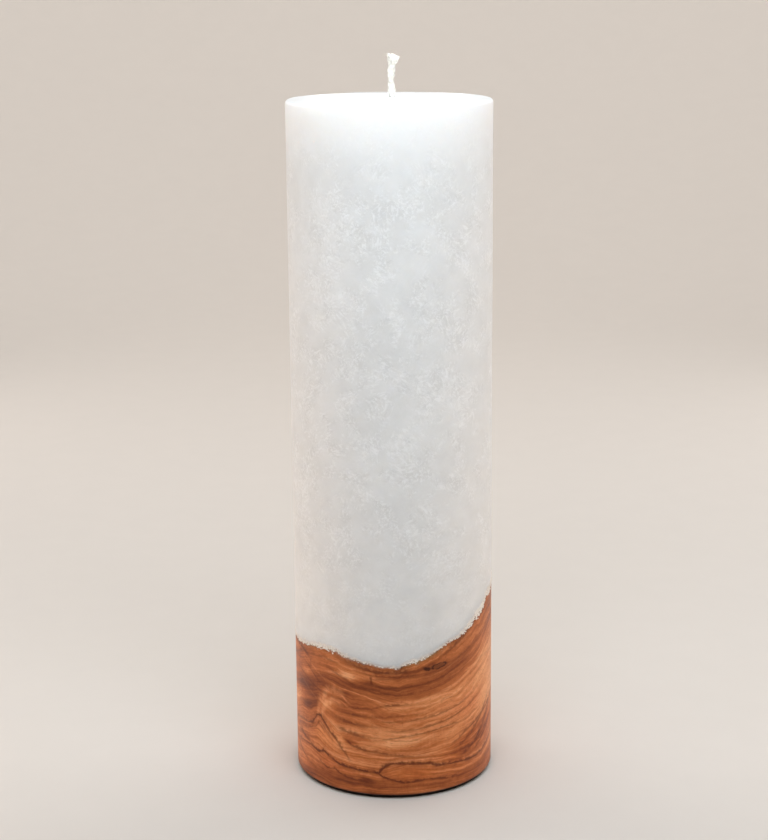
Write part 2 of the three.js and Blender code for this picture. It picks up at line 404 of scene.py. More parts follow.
# Where the wax has run thinly over the wood, where the inner bark is olive and deep,
# and where it is a dark line.
VEIL = bumps((-33, 8, 1.0), (-12, 7, 0.55), (2, 3, 0.35), (150, 10, 0.8), (196, 8, 0.7), (238, 9, 0.9))
OLIVE = bumps((18, 8, 1.0), (-52, 11, 0.6), (9, 4, 0.5), (120, 16, 0.8), (168, 9, 0.6), (222, 12, 0.9))
RIND = bumps((5, 3.2, 1.0), (38, 15, 0.75), (62, 10, 0.9), (-22, 12, 0.8), (-80, 8, 0.6), (98, 16, 0.8),
             (185, 14, 0.8), (262, 12, 0.8), (140, 8, 0.6))

SMOOTH_EDGE = EDGE_ZERO + blur(periodic(EDGE_POINTS, COLUMN, 360), 1.3)
EDGE = (
    SMOOTH_EDGE
    + 0.09 * ring_noise(N, 4, 11)
    + (0.06 + 0.17 * FROST) * ring_noise(N, 1.1, 12)
)


def at_angle(table, degrees):
    return np.interp(np.mod(degrees, 360), np.append(COLUMN, 360), np.append(table, table[0]))


def log_face(r):
    """Height of the log face all round at a radius: each wave of the edge fades
    towards the middle by its own power of the radius."""
    f = np.fft.rfft(EDGE)
    k = np.arange(len(f))
    return np.fft.irfft(f * np.power(min(r / R, 1.0), k), N)


# ---------------------------------------------------------------- the wood ---------

SEAT_R, SEAT_Z = 24.0, float(CUP_HIGH[2]) - 0.5
RECESS_R, RECESS_Z = float(CUP_LOW[0]) * -1 - 1.6, float(CUP_LOW[2]) - 0.3


def wood_mesh():
    rows = [(r, WOOD_Z) for r in (0, 7, 14, 21, 28, 34, 37.5)]
    for a in np.linspace(0, 90, 6):
        c, s = math.cos(math.radians(a)), math.sin(math.radians(a))
        rows.append((R - FOOT + FOOT * s, WOOD_Z + FOOT - FOOT * c))
    low = WOOD_Z + FOOT
    steps = 108
    for j in range(1, steps + 1):
        t = j / steps
        # the fine raggedness belongs to the edge, and dies out within the last rows
        edge = SMOOTH_EDGE + (EDGE - SMOOTH_EDGE) * max(0, (t - 0.9) / 0.1)
        rows.append((R, low + (edge - low) * t))
    for r in (39.7, 39.2, 38.4, 37, 35, 32, 29, 26.5):
        rows.append((r, log_face(r)))
    rows.append((SEAT_R, log_face(SEAT_R)))
    rows += [
        (SEAT_R, SEAT_Z), (22, SEAT_Z), (RECESS_R, SEAT_Z), (RECESS_R, RECESS_Z),
        (12, RECESS_Z), (0, RECESS_Z),
    ]  # fmt: skip
    return revolve(rows, N)


wood = build("wood_base_turned", *wood_mesh())

# The figure of the wood is laid out on the unrolled wall: X and Y in twelfths of a
# millimetre, X from 84 degrees left of the front, Y down from 95 mm.
PERIOD = 360 / 0.11932


def sheet_xy(co):
    angle = np.degrees(np.arctan2(co[:, 0], -co[:, 1]))
    return np.mod((angle + 84) / 0.11932, PERIOD), (95 - (co[:, 2] - EDGE_ZERO)) * 12


def curve(points, x):
    return periodic(points, x, PERIOD)


BACK_1 = [(1480, 930), (1560, 905), (1640, 870), (1700, 862), (1760, 880), (1850, 900),
          (1960, 930), (2080, 965), (2200, 985), (2330, 975), (2450, 990), (2560, 1005),
          (2680, 985), (2800, 1000), (2920, 1005)]  # fmt: skip
LAYER_1 = [(20, 990), (230, 970), (380, 995), (500, 1022), (630, 1026), (760, 983),
           (880, 993), (1050, 1020), (1220, 1020), (1400, 960)] + BACK_1  # fmt: skip
LAYER_2 = [(0, 900), (130, 868), (230, 850), (290, 800), (350, 850), (420, 905),
           (520, 912), (640, 918), (800, 925), (1000, 900), (1160, 845), (1320, 790),
           (1400, 765), (1500, 735), (1620, 700), (1750, 690), (1900, 730), (2100, 790),
           (2300, 810), (2500, 850), (2700, 880), (2900, 905)]  # fmt: skip
LAYER_3 = [(0, 680), (150, 640), (300, 610), (400, 600), (500, 635), (580, 655),
           (650, 675), (720, 690), (850, 680), (1000, 645), (1150, 590), (1300, 520),
           (1400, 470), (1500, 440), (1600, 420), (1700, 430), (1850, 480), (2000, 540),
           (2150, 600), (2300, 680), (2450, 720), (2600, 740), (2750, 720),
           (2900, 690)]  # fmt: skip

# Dark lines: points, strength along X, half width. Where the strength is nought the
# line is absent.
LINES = [
    # the long line low down, and its two branches
    ([(20, 990), (130, 975), (230, 970), (290, 985), (330, 970), (380, 995),
      (430, 1015), (500, 1022), (570, 1028), (630, 1030), (650, 1005), (690, 980),
      (760, 983), (830, 988), (880, 993), (910, 1010), (980, 1015), (1050, 1020),
      (1100, 1028), (1160, 1028), (1220, 1020), (1280, 1000), (1330, 985),
      (1400, 960)] + BACK_1,
     [(0, 0.5), (200, 0.6), (290, 1), (630, 1), (700, 0.95), (1150, 0.9), (1300, 0.55),
      (1500, 0.6), (1700, 0.95), (2050, 0.6), (2300, 0.9), (2550, 0.6), (2850, 0.85),
      (2960, 0.5)], 3.6),
    ([(560, 1028), (630, 1035), (650, 1050), (700, 1068), (750, 1080), (800, 1078),
      (850, 1073), (920, 1080), (1000, 1090), (1060, 1095), (1200, 1100)],
     [(600, 0), (635, 0.95), (760, 1), (870, 0.7), (960, 0.85), (1060, 0.45),
      (1130, 0)], 3.2),
    ([(260, 1010), (300, 1030), (350, 1052), (400, 1045), (430, 1060), (470, 1075),
      (530, 1080), (580, 1085), (680, 1092)],
     [(280, 0), (310, 0.6), (360, 0.8), (480, 0.75), (570, 0.7), (640, 0)], 2.8),
    # the zigzag at the left, which runs round the back to the slanting line
    ([(0, 910), (60, 880), (130, 868), (200, 860), (245, 850), (265, 820), (285, 795),
      (310, 795), (340, 825), (380, 865), (410, 890), (440, 930), (470, 960),
      (485, 985), (560, 1000), (950, 940), (1000, 920), (1080, 875), (1160, 845),
      (1250, 815), (1320, 790), (1400, 765), (1500, 735), (1620, 700), (1750, 690),
      (1900, 730), (2100, 790), (2300, 810), (2500, 850), (2700, 880), (2900, 915)],
     [(0, 0.5), (130, 0.55), (230, 0.85), (300, 1), (400, 0.85), (470, 0.5), (500, 0),
      (960, 0), (1040, 0.5), (1150, 0.7), (1330, 0.5), (1500, 0.75), (1650, 0.5),
      (1800, 0.85), (2100, 0.45), (2400, 0.8), (2700, 0.4), (2900, 0.7)], 3.4),
    ([(1000, 975), (1050, 960), (1150, 955), (1230, 925), (1320, 885), (1400, 850),
      (1520, 815), (1650, 780), (1780, 790), (1900, 830), (2000, 860), (2100, 880)],
     [(1000, 0), (1060, 0.5), (1200, 0.7), (1350, 0.5), (1500, 0.7), (1700, 0.8),
      (1900, 0.5), (2050, 0)], 3.2),
    # thin ones between
    ([(600, 872), (690, 855), (760, 845), (850, 835), (950, 820), (1040, 815),
      (1150, 790)],
     [(580, 0), (680, 0.45), (900, 0.55), (1040, 0.4), (1130, 0)], 2.0),
    ([(440, 870), (460, 880), (500, 905), (560, 920), (640, 930), (740, 945),
      (800, 950), (900, 955)],
     [(440, 0), (480, 0.75), (640, 0.6), (760, 0.5), (860, 0)], 3.4),
    ([(430, 705), (470, 712), (540, 712), (600, 706), (660, 690), (740, 684),
      (860, 690)],
     [(430, 0), (480, 0.45), (620, 0.6), (700, 0.7), (780, 0.2), (840, 0)], 2.4),
    ([(90, 905), (190, 895), (270, 862), (305, 822), (335, 852), (370, 880),
      (420, 930)],
     [(60, 0), (150, 0.3), (270, 0.55), (330, 0.5), (370, 0.45), (400, 0)], 2.2),
    # the dark band under the bark, and its branch to the upper right
    ([(420, 470), (500, 492), (560, 508), (620, 522), (700, 524), (780, 518),
      (850, 508), (900, 490), (950, 455), (1000, 430), (1050, 398), (1100, 355),
      (1160, 325), (1230, 300), (1320, 280)],
     [(380, 0), (470, 0.4), (600, 0.85), (760, 0.85), (900, 0.35), (980, 0.6),
      (1080, 0.85), (1180, 0.45), (1260, 0)], 4.6),
    ([(560, 560), (700, 552), (820, 545), (950, 528), (1050, 485), (1150, 440),
      (1250, 390)],
     [(520, 0), (620, 0.4), (800, 0.45), (1000, 0.4), (1150, 0.25), (1250, 0)], 3.2),
    ([(0, 560), (60, 545), (150, 505), (230, 500), (330, 488), (420, 500), (480, 525)],
     [(0, 0.4), (100, 0.55), (230, 0.5), (380, 0.45), (450, 0)], 3.0),
    ([(130, 560), (240, 575), (300, 590), (400, 560), (460, 540)],
     [(130, 0), (250, 0.25), (330, 0.2), (420, 0)], 2.4),
    # at the back
    ([(1300, 560), (1420, 500), (1560, 470), (1700, 455), (1850, 520), (2000, 580),
      (2150, 650), (2300, 715), (2450, 745), (2600, 770), (2750, 760), (2900, 730),
      (3000, 700)],
     [(1330, 0), (1450, 0.6), (1600, 0.85), (1800, 0.5), (2050, 0.85), (2250, 0.5),
      (2450, 0.9), (2650, 0.55), (2850, 0.7), (2990, 0)], 3.4),
    ([(1450, 350), (1560, 300), (1700, 290), (1850, 350), (2000, 430), (2150, 520),
      (2300, 610), (2420, 640), (2550, 640), (2700, 620), (2850, 600)],
     [(1460, 0), (1580, 0.7), (1720, 0.5), (1900, 0.85), (2100, 0.5), (2300, 0.75),
      (2500, 0.45), (2700, 0.7), (2840, 0)], 3.0),
]  # fmt: skip

LINES += [
    # the split at the upper left
    ([(20, 470), (60, 468), (120, 484), (180, 500), (215, 512), (260, 520)],
     [(20, 0), (60, 0.85), (190, 0.8), (225, 0.4), (260, 0)], 4.0),
    # thin dark lines of the deep band under the bark
    ([(500, 520), (600, 540), (700, 546), (800, 540), (900, 530), (980, 505), (1060, 460)],
     [(500, 0), (600, 0.55), (780, 0.6), (900, 0.35), (1000, 0)], 2.8),
    ([(470, 560), (560, 585), (660, 600), (760, 598), (860, 585), (950, 562), (1050, 520),
      (1140, 470)],
     [(470, 0), (560, 0.4), (660, 0.5), (860, 0.45), (950, 0.5), (1130, 0)], 2.6),
    ([(330, 520), (420, 556), (520, 600), (620, 628), (720, 636), (820, 630), (940, 604),
      (1040, 566), (1120, 520)],
     [(330, 0), (420, 0.5), (520, 0.55), (640, 0.5), (820, 0.4), (1000, 0.35), (1110, 0)], 3.0),
    ([(60, 600), (140, 610), (230, 640), (320, 668), (400, 680), (470, 690)],
     [(60, 0), (140, 0.5), (300, 0.5), (400, 0.35), (460, 0)], 2.8),
    ([(150, 540), (220, 566), (300, 620), (370, 650), (430, 668)],
     [(150, 0), (220, 0.5), (330, 0.45), (430, 0)], 2.4),
    # rings round the flame
    ([(430, 740), (500, 748), (600, 752), (700, 744), (800, 738), (900, 730)],
     [(430, 0), (500, 0.7), (570, 0.4), (640, 0.55), (760, 0.3), (880, 0)], 3.0),
    ([(370, 770), (420, 780), (480, 790), (560, 800), (640, 798), (720, 790)],
     [(370, 0), (430, 0.65), (500, 0.7), (560, 0.4), (700, 0)], 4.2),
    ([(400, 820), (460, 835), (520, 850), (580, 856), (660, 850)],
     [(400, 0), (450, 0.6), (500, 0.7), (560, 0.5), (650, 0)], 4.0),
    ([(560, 770), (680, 772), (800, 766), (920, 752), (1040, 726), (1140, 690), (1240, 640)],
     [(560, 0), (680, 0.4), (900, 0.45), (1060, 0.35), (1200, 0)], 2.0),
    ([(640, 820), (740, 818), (860, 806), (980, 786), (1080, 756), (1180, 716), (1270, 670)],
     [(640, 0), (740, 0.35), (900, 0.5), (1080, 0.5), (1240, 0)], 2.2),
    # the bundle that climbs at the lower right
    ([(1010, 1000), (1080, 985), (1160, 945), (1230, 890), (1290, 830), (1350, 770),
      (1410, 720)],
     [(1010, 0), (1080, 0.6), (1180, 0.8), (1290, 0.6), (1390, 0)], 5.0),
    ([(960, 960), (1040, 940), (1120, 900), (1190, 850), (1260, 790), (1330, 730)],
     [(960, 0), (1050, 0.55), (1150, 0.7), (1260, 0.5), (1330, 0)], 4.4),
    ([(1080, 1010), (1160, 985), (1240, 940), (1320, 880), (1390, 820)],
     [(1080, 0), (1160, 0.55), (1260, 0.6), (1390, 0)], 3.6),
    ([(0, 960), (60, 1000), (130, 1036), (200, 1062), (280, 1078)],
     [(0, 0.3), (60, 0.5), (150, 0.5), (280, 0)], 3.0),
    ([(60, 930), (130, 935), (190, 950), (230, 958)],
     [(60, 0), (120, 0.6), (190, 0.8), (235, 0)], 5.0),
]  # fmt: skip

# Short dark marks across the grain: X, Y from, Y to, half width, slant, strength.
MARKS = [
    (597, 540, 592, 5.0, 4, 0.75), (236, 512, 580, 4.0, 2, 0.6), (322, 838, 880, 3.6, 16, 0.6),
    (612, 712, 742, 2.2, 1, 0.35), (650, 720, 770, 2.2, -1, 0.3), (704, 730, 784, 2.2, 2, 0.3),
    (744, 742, 800, 2.2, 0, 0.25), (1700, 560, 640, 4.0, -4, 0.6), (2360, 760, 820, 4.0, 5, 0.6),
    (2020, 700, 735, 3.4, 0, 0.45),
]  # fmt: skip

# Light lines, laid out in the same way.
PALE = [
    ([(200, 560), (280, 578), (350, 596), (400, 612), (440, 624), (500, 632),
      (560, 646), (620, 664), (680, 682), (760, 700)],
     [(320, 0), (400, 0.35), (460, 0.7), (620, 0.8), (680, 0.4), (720, 0)], 2.8),
    ([(700, 668), (800, 672), (880, 660), (960, 640), (1060, 600), (1150, 555),
      (1250, 505)],
     [(690, 0), (780, 0.5), (900, 0.6), (1100, 0.45), (1240, 0)], 7.0),
    ([(120, 640), (190, 668), (260, 706), (320, 730)],
     [(120, 0), (180, 0.35), (260, 0.3), (310, 0)], 3.0),
    ([(60, 620), (120, 640), (170, 660), (230, 700)],
     [(60, 0), (120, 0.25), (180, 0.25), (225, 0)], 3.0),
    ([(140, 500), (210, 530), (280, 570), (350, 606), (410, 624)],
     [(140, 0), (210, 0.25), (300, 0.35), (400, 0)], 3.4),
    ([(330, 560), (380, 552), (430, 556), (480, 566), (520, 580)],
     [(330, 0), (390, 0.6), (460, 0.75), (515, 0)], 5.0),
    ([(780, 560), (880, 552), (960, 530), (1040, 492), (1120, 444)],
     [(780, 0), (880, 0.3), (980, 0.45), (1110, 0)], 2.6),
    ([(640, 690), (740, 700), (860, 696), (980, 676), (1080, 640), (1180, 590)],
     [(640, 0), (740, 0.45), (900, 0.5), (1060, 0.4), (1170, 0)], 3.0),
    ([(560, 960), (660, 975), (760, 970), (860, 965), (960, 975)],
     [(560, 0), (660, 0.45), (860, 0.45), (950, 0)], 3.6),
    ([(1500, 560), (1650, 540), (1800, 570), (1950, 640), (2100, 690)],
     [(1500, 0), (1620, 0.6), (1900, 0.5), (2080, 0)], 5.0),
    ([(2250, 520), (2400, 560), (2550, 565), (2700, 545)],
     [(2250, 0), (2380, 0.6), (2600, 0.5), (2690, 0)], 4.0),
    # the flame: an arc with strokes that fan out of it
    ([(276, 800), (290, 762), (308, 722), (330, 686), (358, 655), (392, 640), (430, 646),
      (470, 672)],
     [(276, 0), (292, 0.5), (330, 0.85), (400, 0.9), (440, 0.6), (470, 0)], 15.0),
    ([(302, 800), (325, 756), (352, 716), (388, 694), (430, 700), (462, 716)],
     [(302, 0), (325, 0.6), (370, 0.8), (430, 0.6), (460, 0)], 13.0),
    ([(372, 628), (410, 640), (448, 664), (486, 696), (510, 706)],
     [(372, 0), (400, 0.6), (470, 0.9), (508, 0)], 4.0),
    ([(400, 676), (440, 690), (480, 714), (510, 720)],
     [(400, 0), (430, 0.5), (480, 0.5), (508, 0)], 3.4),
]  # fmt: skip

# Broad patches of tone: X, Y, reach along, reach across, tilt in degrees, amount. The long dark ones low along the
# foot (Y 1060 to 1105) are painted shade.
PATCHES = [
    (215, 770, 95, 80, 0, -0.25), (232, 686, 80, 24, 3, -0.28), (205, 608, 60, 20, 0, 0.15), (320, 640, 200, 50, 6, -0.17), (620, 600, 240, 42, 3, -0.18),
    (900, 560, 160, 40, -12, -0.16), (60, 800, 90, 50, -8, 0.12), (60, 640, 120, 50, -12, -0.02),
    (865, 668, 170, 18, -8, 0.20), (1010, 740, 260, 60, -10, 0.16), (1280, 600, 110, 110, -25, 0.17),
    (1150, 905, 120, 36, -15, -0.14), (370, 690, 36, 46, 20, 0.16), (335, 735, 30, 34, 0, 0.14),
    (478, 556, 46, 13, 14, 0.46), (320, 885, 60, 34, 0, 0.10), (430, 890, 24, 50, -30, 0.12),
    (800, 1030, 150, 22, 4, 0.05), (250, 1085, 180, 40, 0, -0.12), (490, 888, 30, 9, 8, -0.34),
    (575, 1074, 24, 10, 10, -0.34), (560, 790, 90, 26, 0, -0.10), (700, 880, 160, 16, -4, 0.10),
    (1060, 990, 60, 22, -10, -0.14), (900, 1105, 300, 26, 0, -0.10), (450, 745, 60, 12, 5, -0.14),
    (1330, 960, 90, 40, -25, 0.10), (1180, 800, 140, 30, -22, 0.12), (1200, 400, 140, 36, -28, -0.05),
    (1560, 560, 160, 70, -8, 0.15), (1750, 360, 180, 60, 12, -0.20), (1900, 820, 200, 60, 14, 0.12),
    (2150, 740, 190, 50, 20, -0.18), (2380, 900, 160, 50, 4, 0.14), (2550, 680, 180, 40, 6, -0.20),
    (2750, 820, 150, 45, 4, 0.14), (1650, 980, 200, 50, -6, -0.12), (2900, 600, 120, 36, -4, -0.12),
    (2250, 1060, 240, 40, 0, -0.10), (2050, 620, 110, 22, 24, 0.16), (2620, 940, 120, 28, 4, -0.10),
]  # fmt: skip
# Ochre (positive) or pink (negative) patches: X, Y, reach along, reach across, tilt, amount.
HUES = [
    (1150, 920, 150, 45, -15, 0.8), (1240, 880, 110, 40, -22, 0.6), (780, 1040, 160, 30, 3, 0.7),
    (1130, 740, 110, 50, -8, -0.7), (320, 890, 60, 40, 0, 0.5), (560, 900, 110, 20, 3, 0.35),
    (1000, 430, 200, 26, -24, 0.5), (400, 1000, 100, 40, 0, -0.3), (380, 1030, 60, 26, 0, -0.7),
    (1800, 740, 200, 60, 8, 0.6), (2300, 860, 160, 50, 4, -0.5), (2700, 900, 140, 40, 0, 0.6),
    (1560, 420, 130, 50, -6, 0.4),
]  # fmt: skip


def patches(specs, x, y):
    total = np.zeros(len(x))
    for px, py, sx, sy, tilt, amount in specs:
        c, s = math.cos(math.radians(tilt)), math.sin(math.radians(tilt))
        dx, dy = wrap(x - px, PERIOD), y - py
        u, v = dx * c + dy * s, -dx * s + dy * c
        total += amount * np.exp(-0.5 * ((u / sx) ** 2 + (v / sy) ** 2))
    return total


# Knots and short marks: X, Y.
KNOTS = [(866, 514), (926, 506), (2140, 560)]


def paint_wood(ob):
    co = positions(ob)
    x, y = sheet_xy(co)
    angle = np.mod(np.degrees(np.arctan2(co[:, 0], -co[:, 1])), 360)
    edge = at_angle(EDGE, angle)
    edge_y = (95 - (edge - EDGE_ZERO)) * 12
    fine = np.linspace(0, PERIOD, 3018)[:-1]

    def soft(points, sigma):
        table = blur(curve(points, fine), sigma)
        return np.interp(x, np.append(fine, PERIOD), np.append(table, table[0]))

    # The layer coordinate runs through the fixed layers, so that the grain follows
    # the drawn lines and, at the top, the live edge itself.
    knots_y = np.stack(
        [np.full(len(x), 1160.0), soft(LAYER_1, 10), soft(LAYER_2, 12),
         soft(LAYER_3, 14), edge_y]
    )  # fmt: skip
    values = [0.0, 14.0, 30.0, 44.0, 60.0]
    layer = np.full(len(x), values[0])
    for i in range(4):
        hi, lo = knots_y[i], knots_y[i + 1]
        t = (hi - y) / np.maximum(hi - lo, 1)
        layer = np.where(
            t > 0, values[i] + (values[i + 1] - values[i]) * np.minimum(t, 1.6), layer
        )
    attribute(ob, "layer", layer)
    attribute(ob, "edge", edge - co[:, 2])
    attribute(ob, "frost", at_angle(FROST, angle))
    attribute(
        ob, "bark",
        np.stack([at_angle(VEIL, angle), at_angle(OLIVE, angle), at_angle(RIND, angle)], 1),
    )
    attribute(ob, "tone", patches(PATCHES, x, y))
    attribute(ob, "hue", patches(HUES, x, y))
    # Lines that never come near one another share one field of signed distance,
    # strength and half width.
    groups = {}
    for prefix, specs in (("line", LINES), ("pale", PALE)):
        fields, taken = [], []
        for points, strength, width in specs:
            width = width * (1.42 if prefix == "line" else 1.0)
            ys = soft(points, 2.2)
            slope = np.interp(
                x, fine, np.gradient(blur(curve(points, fine), 2.2), fine)
            )
            d = (y - ys) / np.sqrt(1 + slope**2)
            amount = curve(strength, x)
            near = (np.abs(d) < 44) & (amount > 0)
            g = 0
            while g < len(fields) and np.any(taken[g] & near):
                g += 1
            if g == len(fields):
                fields.append(np.tile([99.0, 0.0, 4.0], (len(x), 1)))
                taken.append(np.zeros(len(x), bool))
            taken[g] |= near
            amount = amount * np.clip((34 - np.abs(d)) / 8, 0, 1)
            fields[g][near] = np.stack([d, amount, np.full(len(x), width)], 1)[near]
        for g, field in enumerate(fields):
            attribute(ob, f"{prefix}_{g}", field)
        groups[prefix] = len(fields)
    print("groups of lines", groups)
    cross = np.zeros(len(x))
    for mx, top, bottom, half, slant, strength in MARKS:
        t = (y - top) / (bottom - top)
        d = np.abs(wrap(x - mx - slant * (t - 0.5) * 2, PERIOD)) / half
        ends = np.clip(np.minimum(t, 1 - t) * 5, 0, 1) * (t > 0) * (t < 1)
        cross = np.maximum(cross, strength * ends * np.clip(1.7 - d, 0, 1))
    attribute(ob, "cross", cross)
    for k, (kx, ky) in enumerate(KNOTS):
        dx, dy = wrap(x - kx, PERIOD), y - ky
        near = (np.abs(dx) < 300).astype(float)
        attribute(ob, f"knot_{k}", np.stack([dx, dy, near], 1))
    return groups


GROUPS = paint_wood(wood)


def wood_material():
    n = Nodes("olive_wood_oiled")
    p = n.place()
    px, py, pz = n.split(p)
    layer = n.attr("layer")
    edge = n.attr("edge")
    frost = n.attr("frost")
    tone = n.attr("tone")
    veil, olive, rind = n.split(n.attr("bark", True))

    # Slow and quick waviness of the layers, in layer units.
    wave = n.sub(n.noise(p, 0.055, 2, 0.5), 0.5)
    ripple = n.sub(n.noise(p, 0.32, 2, 0.5), 0.5)
    wavy = n.add(layer, n.add(n.mul(wave, 5.0), n.mul(ripple, 0.7)))

    def streak(along, across, detail=2.0, rough=0.55):
        return n.noise(
            n.combine(n.mul(px, along), n.mul(py, along), n.mul(wavy, across)),
            1.0, detail, rough,
        )  # fmt: skip

    broad = streak(0.020, 0.20, 2)
    middle = streak(0.035, 0.52, 2, 0.5)
    fine = streak(0.060, 1.6, 2, 0.5)
    hair = streak(0.14, 5.2, 2, 0.6)

    def centred(v, gain):
        return n.mul(n.sub(v, 0.5), gain)

    value = n.add(0.53, n.mul(tone, 1.25))
    value = n.add(value, centred(broad, 0.72))
    value = n.add(value, centred(middle, 0.78))
    value = n.add(value, centred(fine, 0.42))
    value = n.add(value, centred(hair, 0.22))
    # blotches where the grain rises and the oil soaks in
    blotch = n.noise(n.combine(n.mul(px, 0.30), n.mul(py, 0.30), n.mul(pz, 0.62)), 1.0, 3, 0.65)
    value = n.add(value, centred(blotch, 0.34))
    # curl: faint upright ticks that catch the light, in patches
    curl = n.noise(n.combine(n.mul(px, 1.5), n.mul(py, 1.5), n.mul(pz, 0.16)), 1.0, 2, 0.5)
    curl_where = n.range(n.noise(p, 0.07, 1), 0.44, 0.62)
    value = n.add(value, n.mul(centred(curl, 0.12), curl_where))
    # a little darker towards the foot: painted shade, where less of the light from above reaches
    value = n.sub(value, n.range(pz, WOOD_Z + 1.0, WOOD_Z + 15.0, 0.11, 0.0))

    # the drawn lines, each a little uneven along its course
    shake = n.add(
        n.mul(n.sub(n.noise(p, 0.5, 2, 0.6), 0.5), 14.0),
        n.mul(n.sub(n.noise(p, 1.8, 2, 0.6), 0.5), 4.0),
    )
    breaks = n.range(n.noise(n.combine(px, py, n.mul(pz, 0.4)), 0.30, 3, 0.6), 0.34, 0.54, 0.42, 1.0)
    swell = n.range(n.noise(p, 0.5, 2), 0.35, 0.65, 0.65, 1.5)
    dark = None
    halo = None
    for k in range(GROUPS["line"]):
        d, amount, width = n.split(n.attr(f"line_{k}", True))
        away = n.math("DIVIDE", n.math("ABSOLUTE", n.add(d, shake)), n.mul(width, swell))
        core = n.mul(n.range(away, 0.15, 2.0, 1.0, 0.0), amount)
        glow = n.mul(n.range(away, 0.0, 5.0, 1.0, 0.0), amount)
        dark = core if dark is None else n.math("MAXIMUM", dark, core)
        halo = glow if halo is None else n.math("MAXIMUM", halo, glow)
    pale = None
    for k in range(GROUPS["pale"]):
        d, amount, width = n.split(n.attr(f"pale_{k}", True))
        away = n.math("ABSOLUTE", n.add(d, n.mul(shake, 0.7)))
        core = n.mul(n.range(n.math("DIVIDE", away, width), 0.1, 2.2, 1.0, 0.0), n.mul(amount, breaks))
        pale = core if pale is None else n.math("MAXIMUM", pale, core)
    cross = n.mul(n.attr("cross"), breaks)

    # pale strokes lift the tone, so that the grain shows through them
    value = n.add(value, n.mul(pale, 0.30))
    colour = n.ramp(
        value,
        [
            (0.02, srgb(108, 50, 22)),
            (0.26, srgb(150, 80, 40)),
            (0.48, srgb(188, 108, 60)),
            (0.68, srgb(214, 138, 88)),
            (0.98, srgb(240, 176, 128)),
        ],
    )
    # ochre and pink drift of the heartwood
    drift = n.add(n.attr("hue"), n.mul(n.sub(n.noise(p, 0.045, 2), 0.5), 1.6))
    colour = n.mix(n.mul(n.range(drift, 0.1, 1.0), 0.6), colour, (1.02, 0.85, 0.55, 1), "MULTIPLY")
    pink = n.range(n.mul(drift, -1.0), 0.1, 1.0)
    colour = n.mix(n.mul(pink, 0.45), colour, (1.05, 0.93, 1.0, 1), "MULTIPLY")


    # free figure: closely spaced dark rings that come and go
    rings = n.range(n.math("SINE", n.mul(wavy, 2.1)), 0.72, 1.0)
    rings_where = n.range(n.noise(p, 0.06, 2, 0.6), 0.44, 0.62)
    rings = n.mul(rings, n.mul(rings_where, breaks))
    thin = n.range(n.math("SINE", n.mul(n.add(wavy, n.mul(middle, 1.4)), 5.3)), 0.70, 1.0)
    thin_where = n.range(n.noise(n.vec("ADD", p, (31.0, 7.0, 3.0)), 0.075, 2, 0.6), 0.42, 0.60)
    thin = n.mul(thin, n.mul(thin_where, breaks))

    # knots
    knot = None
    ring = None
    for k in range(len(KNOTS)):
        dx, dy, near = n.split(n.attr(f"knot_{k}", True))
        sizes = ((25.0, 11.0), (46.0, 15.0), (30.0, 17.0))[k]
        lean = (0.10, -0.16, 0.1)[k]
        u = n.math("DIVIDE", n.add(dx, n.mul(shake, 1.4)), sizes[0])
        v = n.math("DIVIDE", n.add(n.add(dy, n.mul(shake, 0.8)), n.mul(dx, -lean)), sizes[1])
        far = n.math("SQRT", n.add(n.mul(u, u), n.mul(v, v)))
        if k == 1:
            # an old branch seen from its side: a dark rim round a brown heart
            rim = n.mul(n.range(n.math("ABSOLUTE", n.sub(far, 0.78)), 0.04, 0.34, 1.0, 0.0), n.range(n.noise(p, 0.9, 2), 0.36, 0.56, 0.45, 1.0))
            body = n.math("MAXIMUM", rim, n.range(far, 0.5, 1.0, 0.52, 0.0))
        else:
            body = n.range(far, 0.5, 1.15, 1.0, 0.0)
        body = n.mul(body, near)
        around = n.mul(n.range(far, 0.7, 2.2, 0.7, 0.0), near)
        knot = body if knot is None else n.math("MAXIMUM", knot, body)
        ring = around if ring is None else n.math("MAXIMUM", ring, around)

    colour = n.mix(n.mul(pale, 0.34), colour, srgb(226, 156, 110))
    colour = n.mix(n.mul(rings, 0.26), colour, srgb(132, 66, 30))
    colour = n.mix(n.mul(thin, 0.16), colour, srgb(138, 74, 38))
    colour = n.mix(n.mul(n.math("MAXIMUM", halo, ring), 0.50), colour, srgb(140, 70, 32))
    ink = n.mul(n.math("MAXIMUM", dark, cross), breaks)
    colour = n.mix(n.mul(ink, 0.90), colour, srgb(84, 33, 10))
    colour = n.mix(n.mul(knot, 0.95), colour, srgb(56, 22, 8))

    # pores: short dark flecks along the grain
    pore = n.noise(n.combine(n.mul(px, 0.8), n.mul(py, 0.8), n.mul(wavy, 5.0)), 1.0, 1, 0.5)
    pore = n.range(pore, 0.60, 0.72)
    colour = n.mix(n.mul(pore, 0.38), colour, srgb(112, 56, 26))

    # the wood darkens towards the live edge
    wander = n.mul(n.sub(n.noise(p, 0.35, 3, 0.6), 0.5), 2.4)
    rim = n.math("DIVIDE", edge, n.add(2.0, n.add(n.mul(wander, 0.7), n.mul(rind, 0.9))))
    rim = n.range(rim, 0.15, 1.5, 1.0, 0.0)
    colour = n.mix(n.mul(rim, n.add(0.46, n.mul(n.math("MAXIMUM", rind, olive), 0.22))), colour, srgb(126, 72, 40))
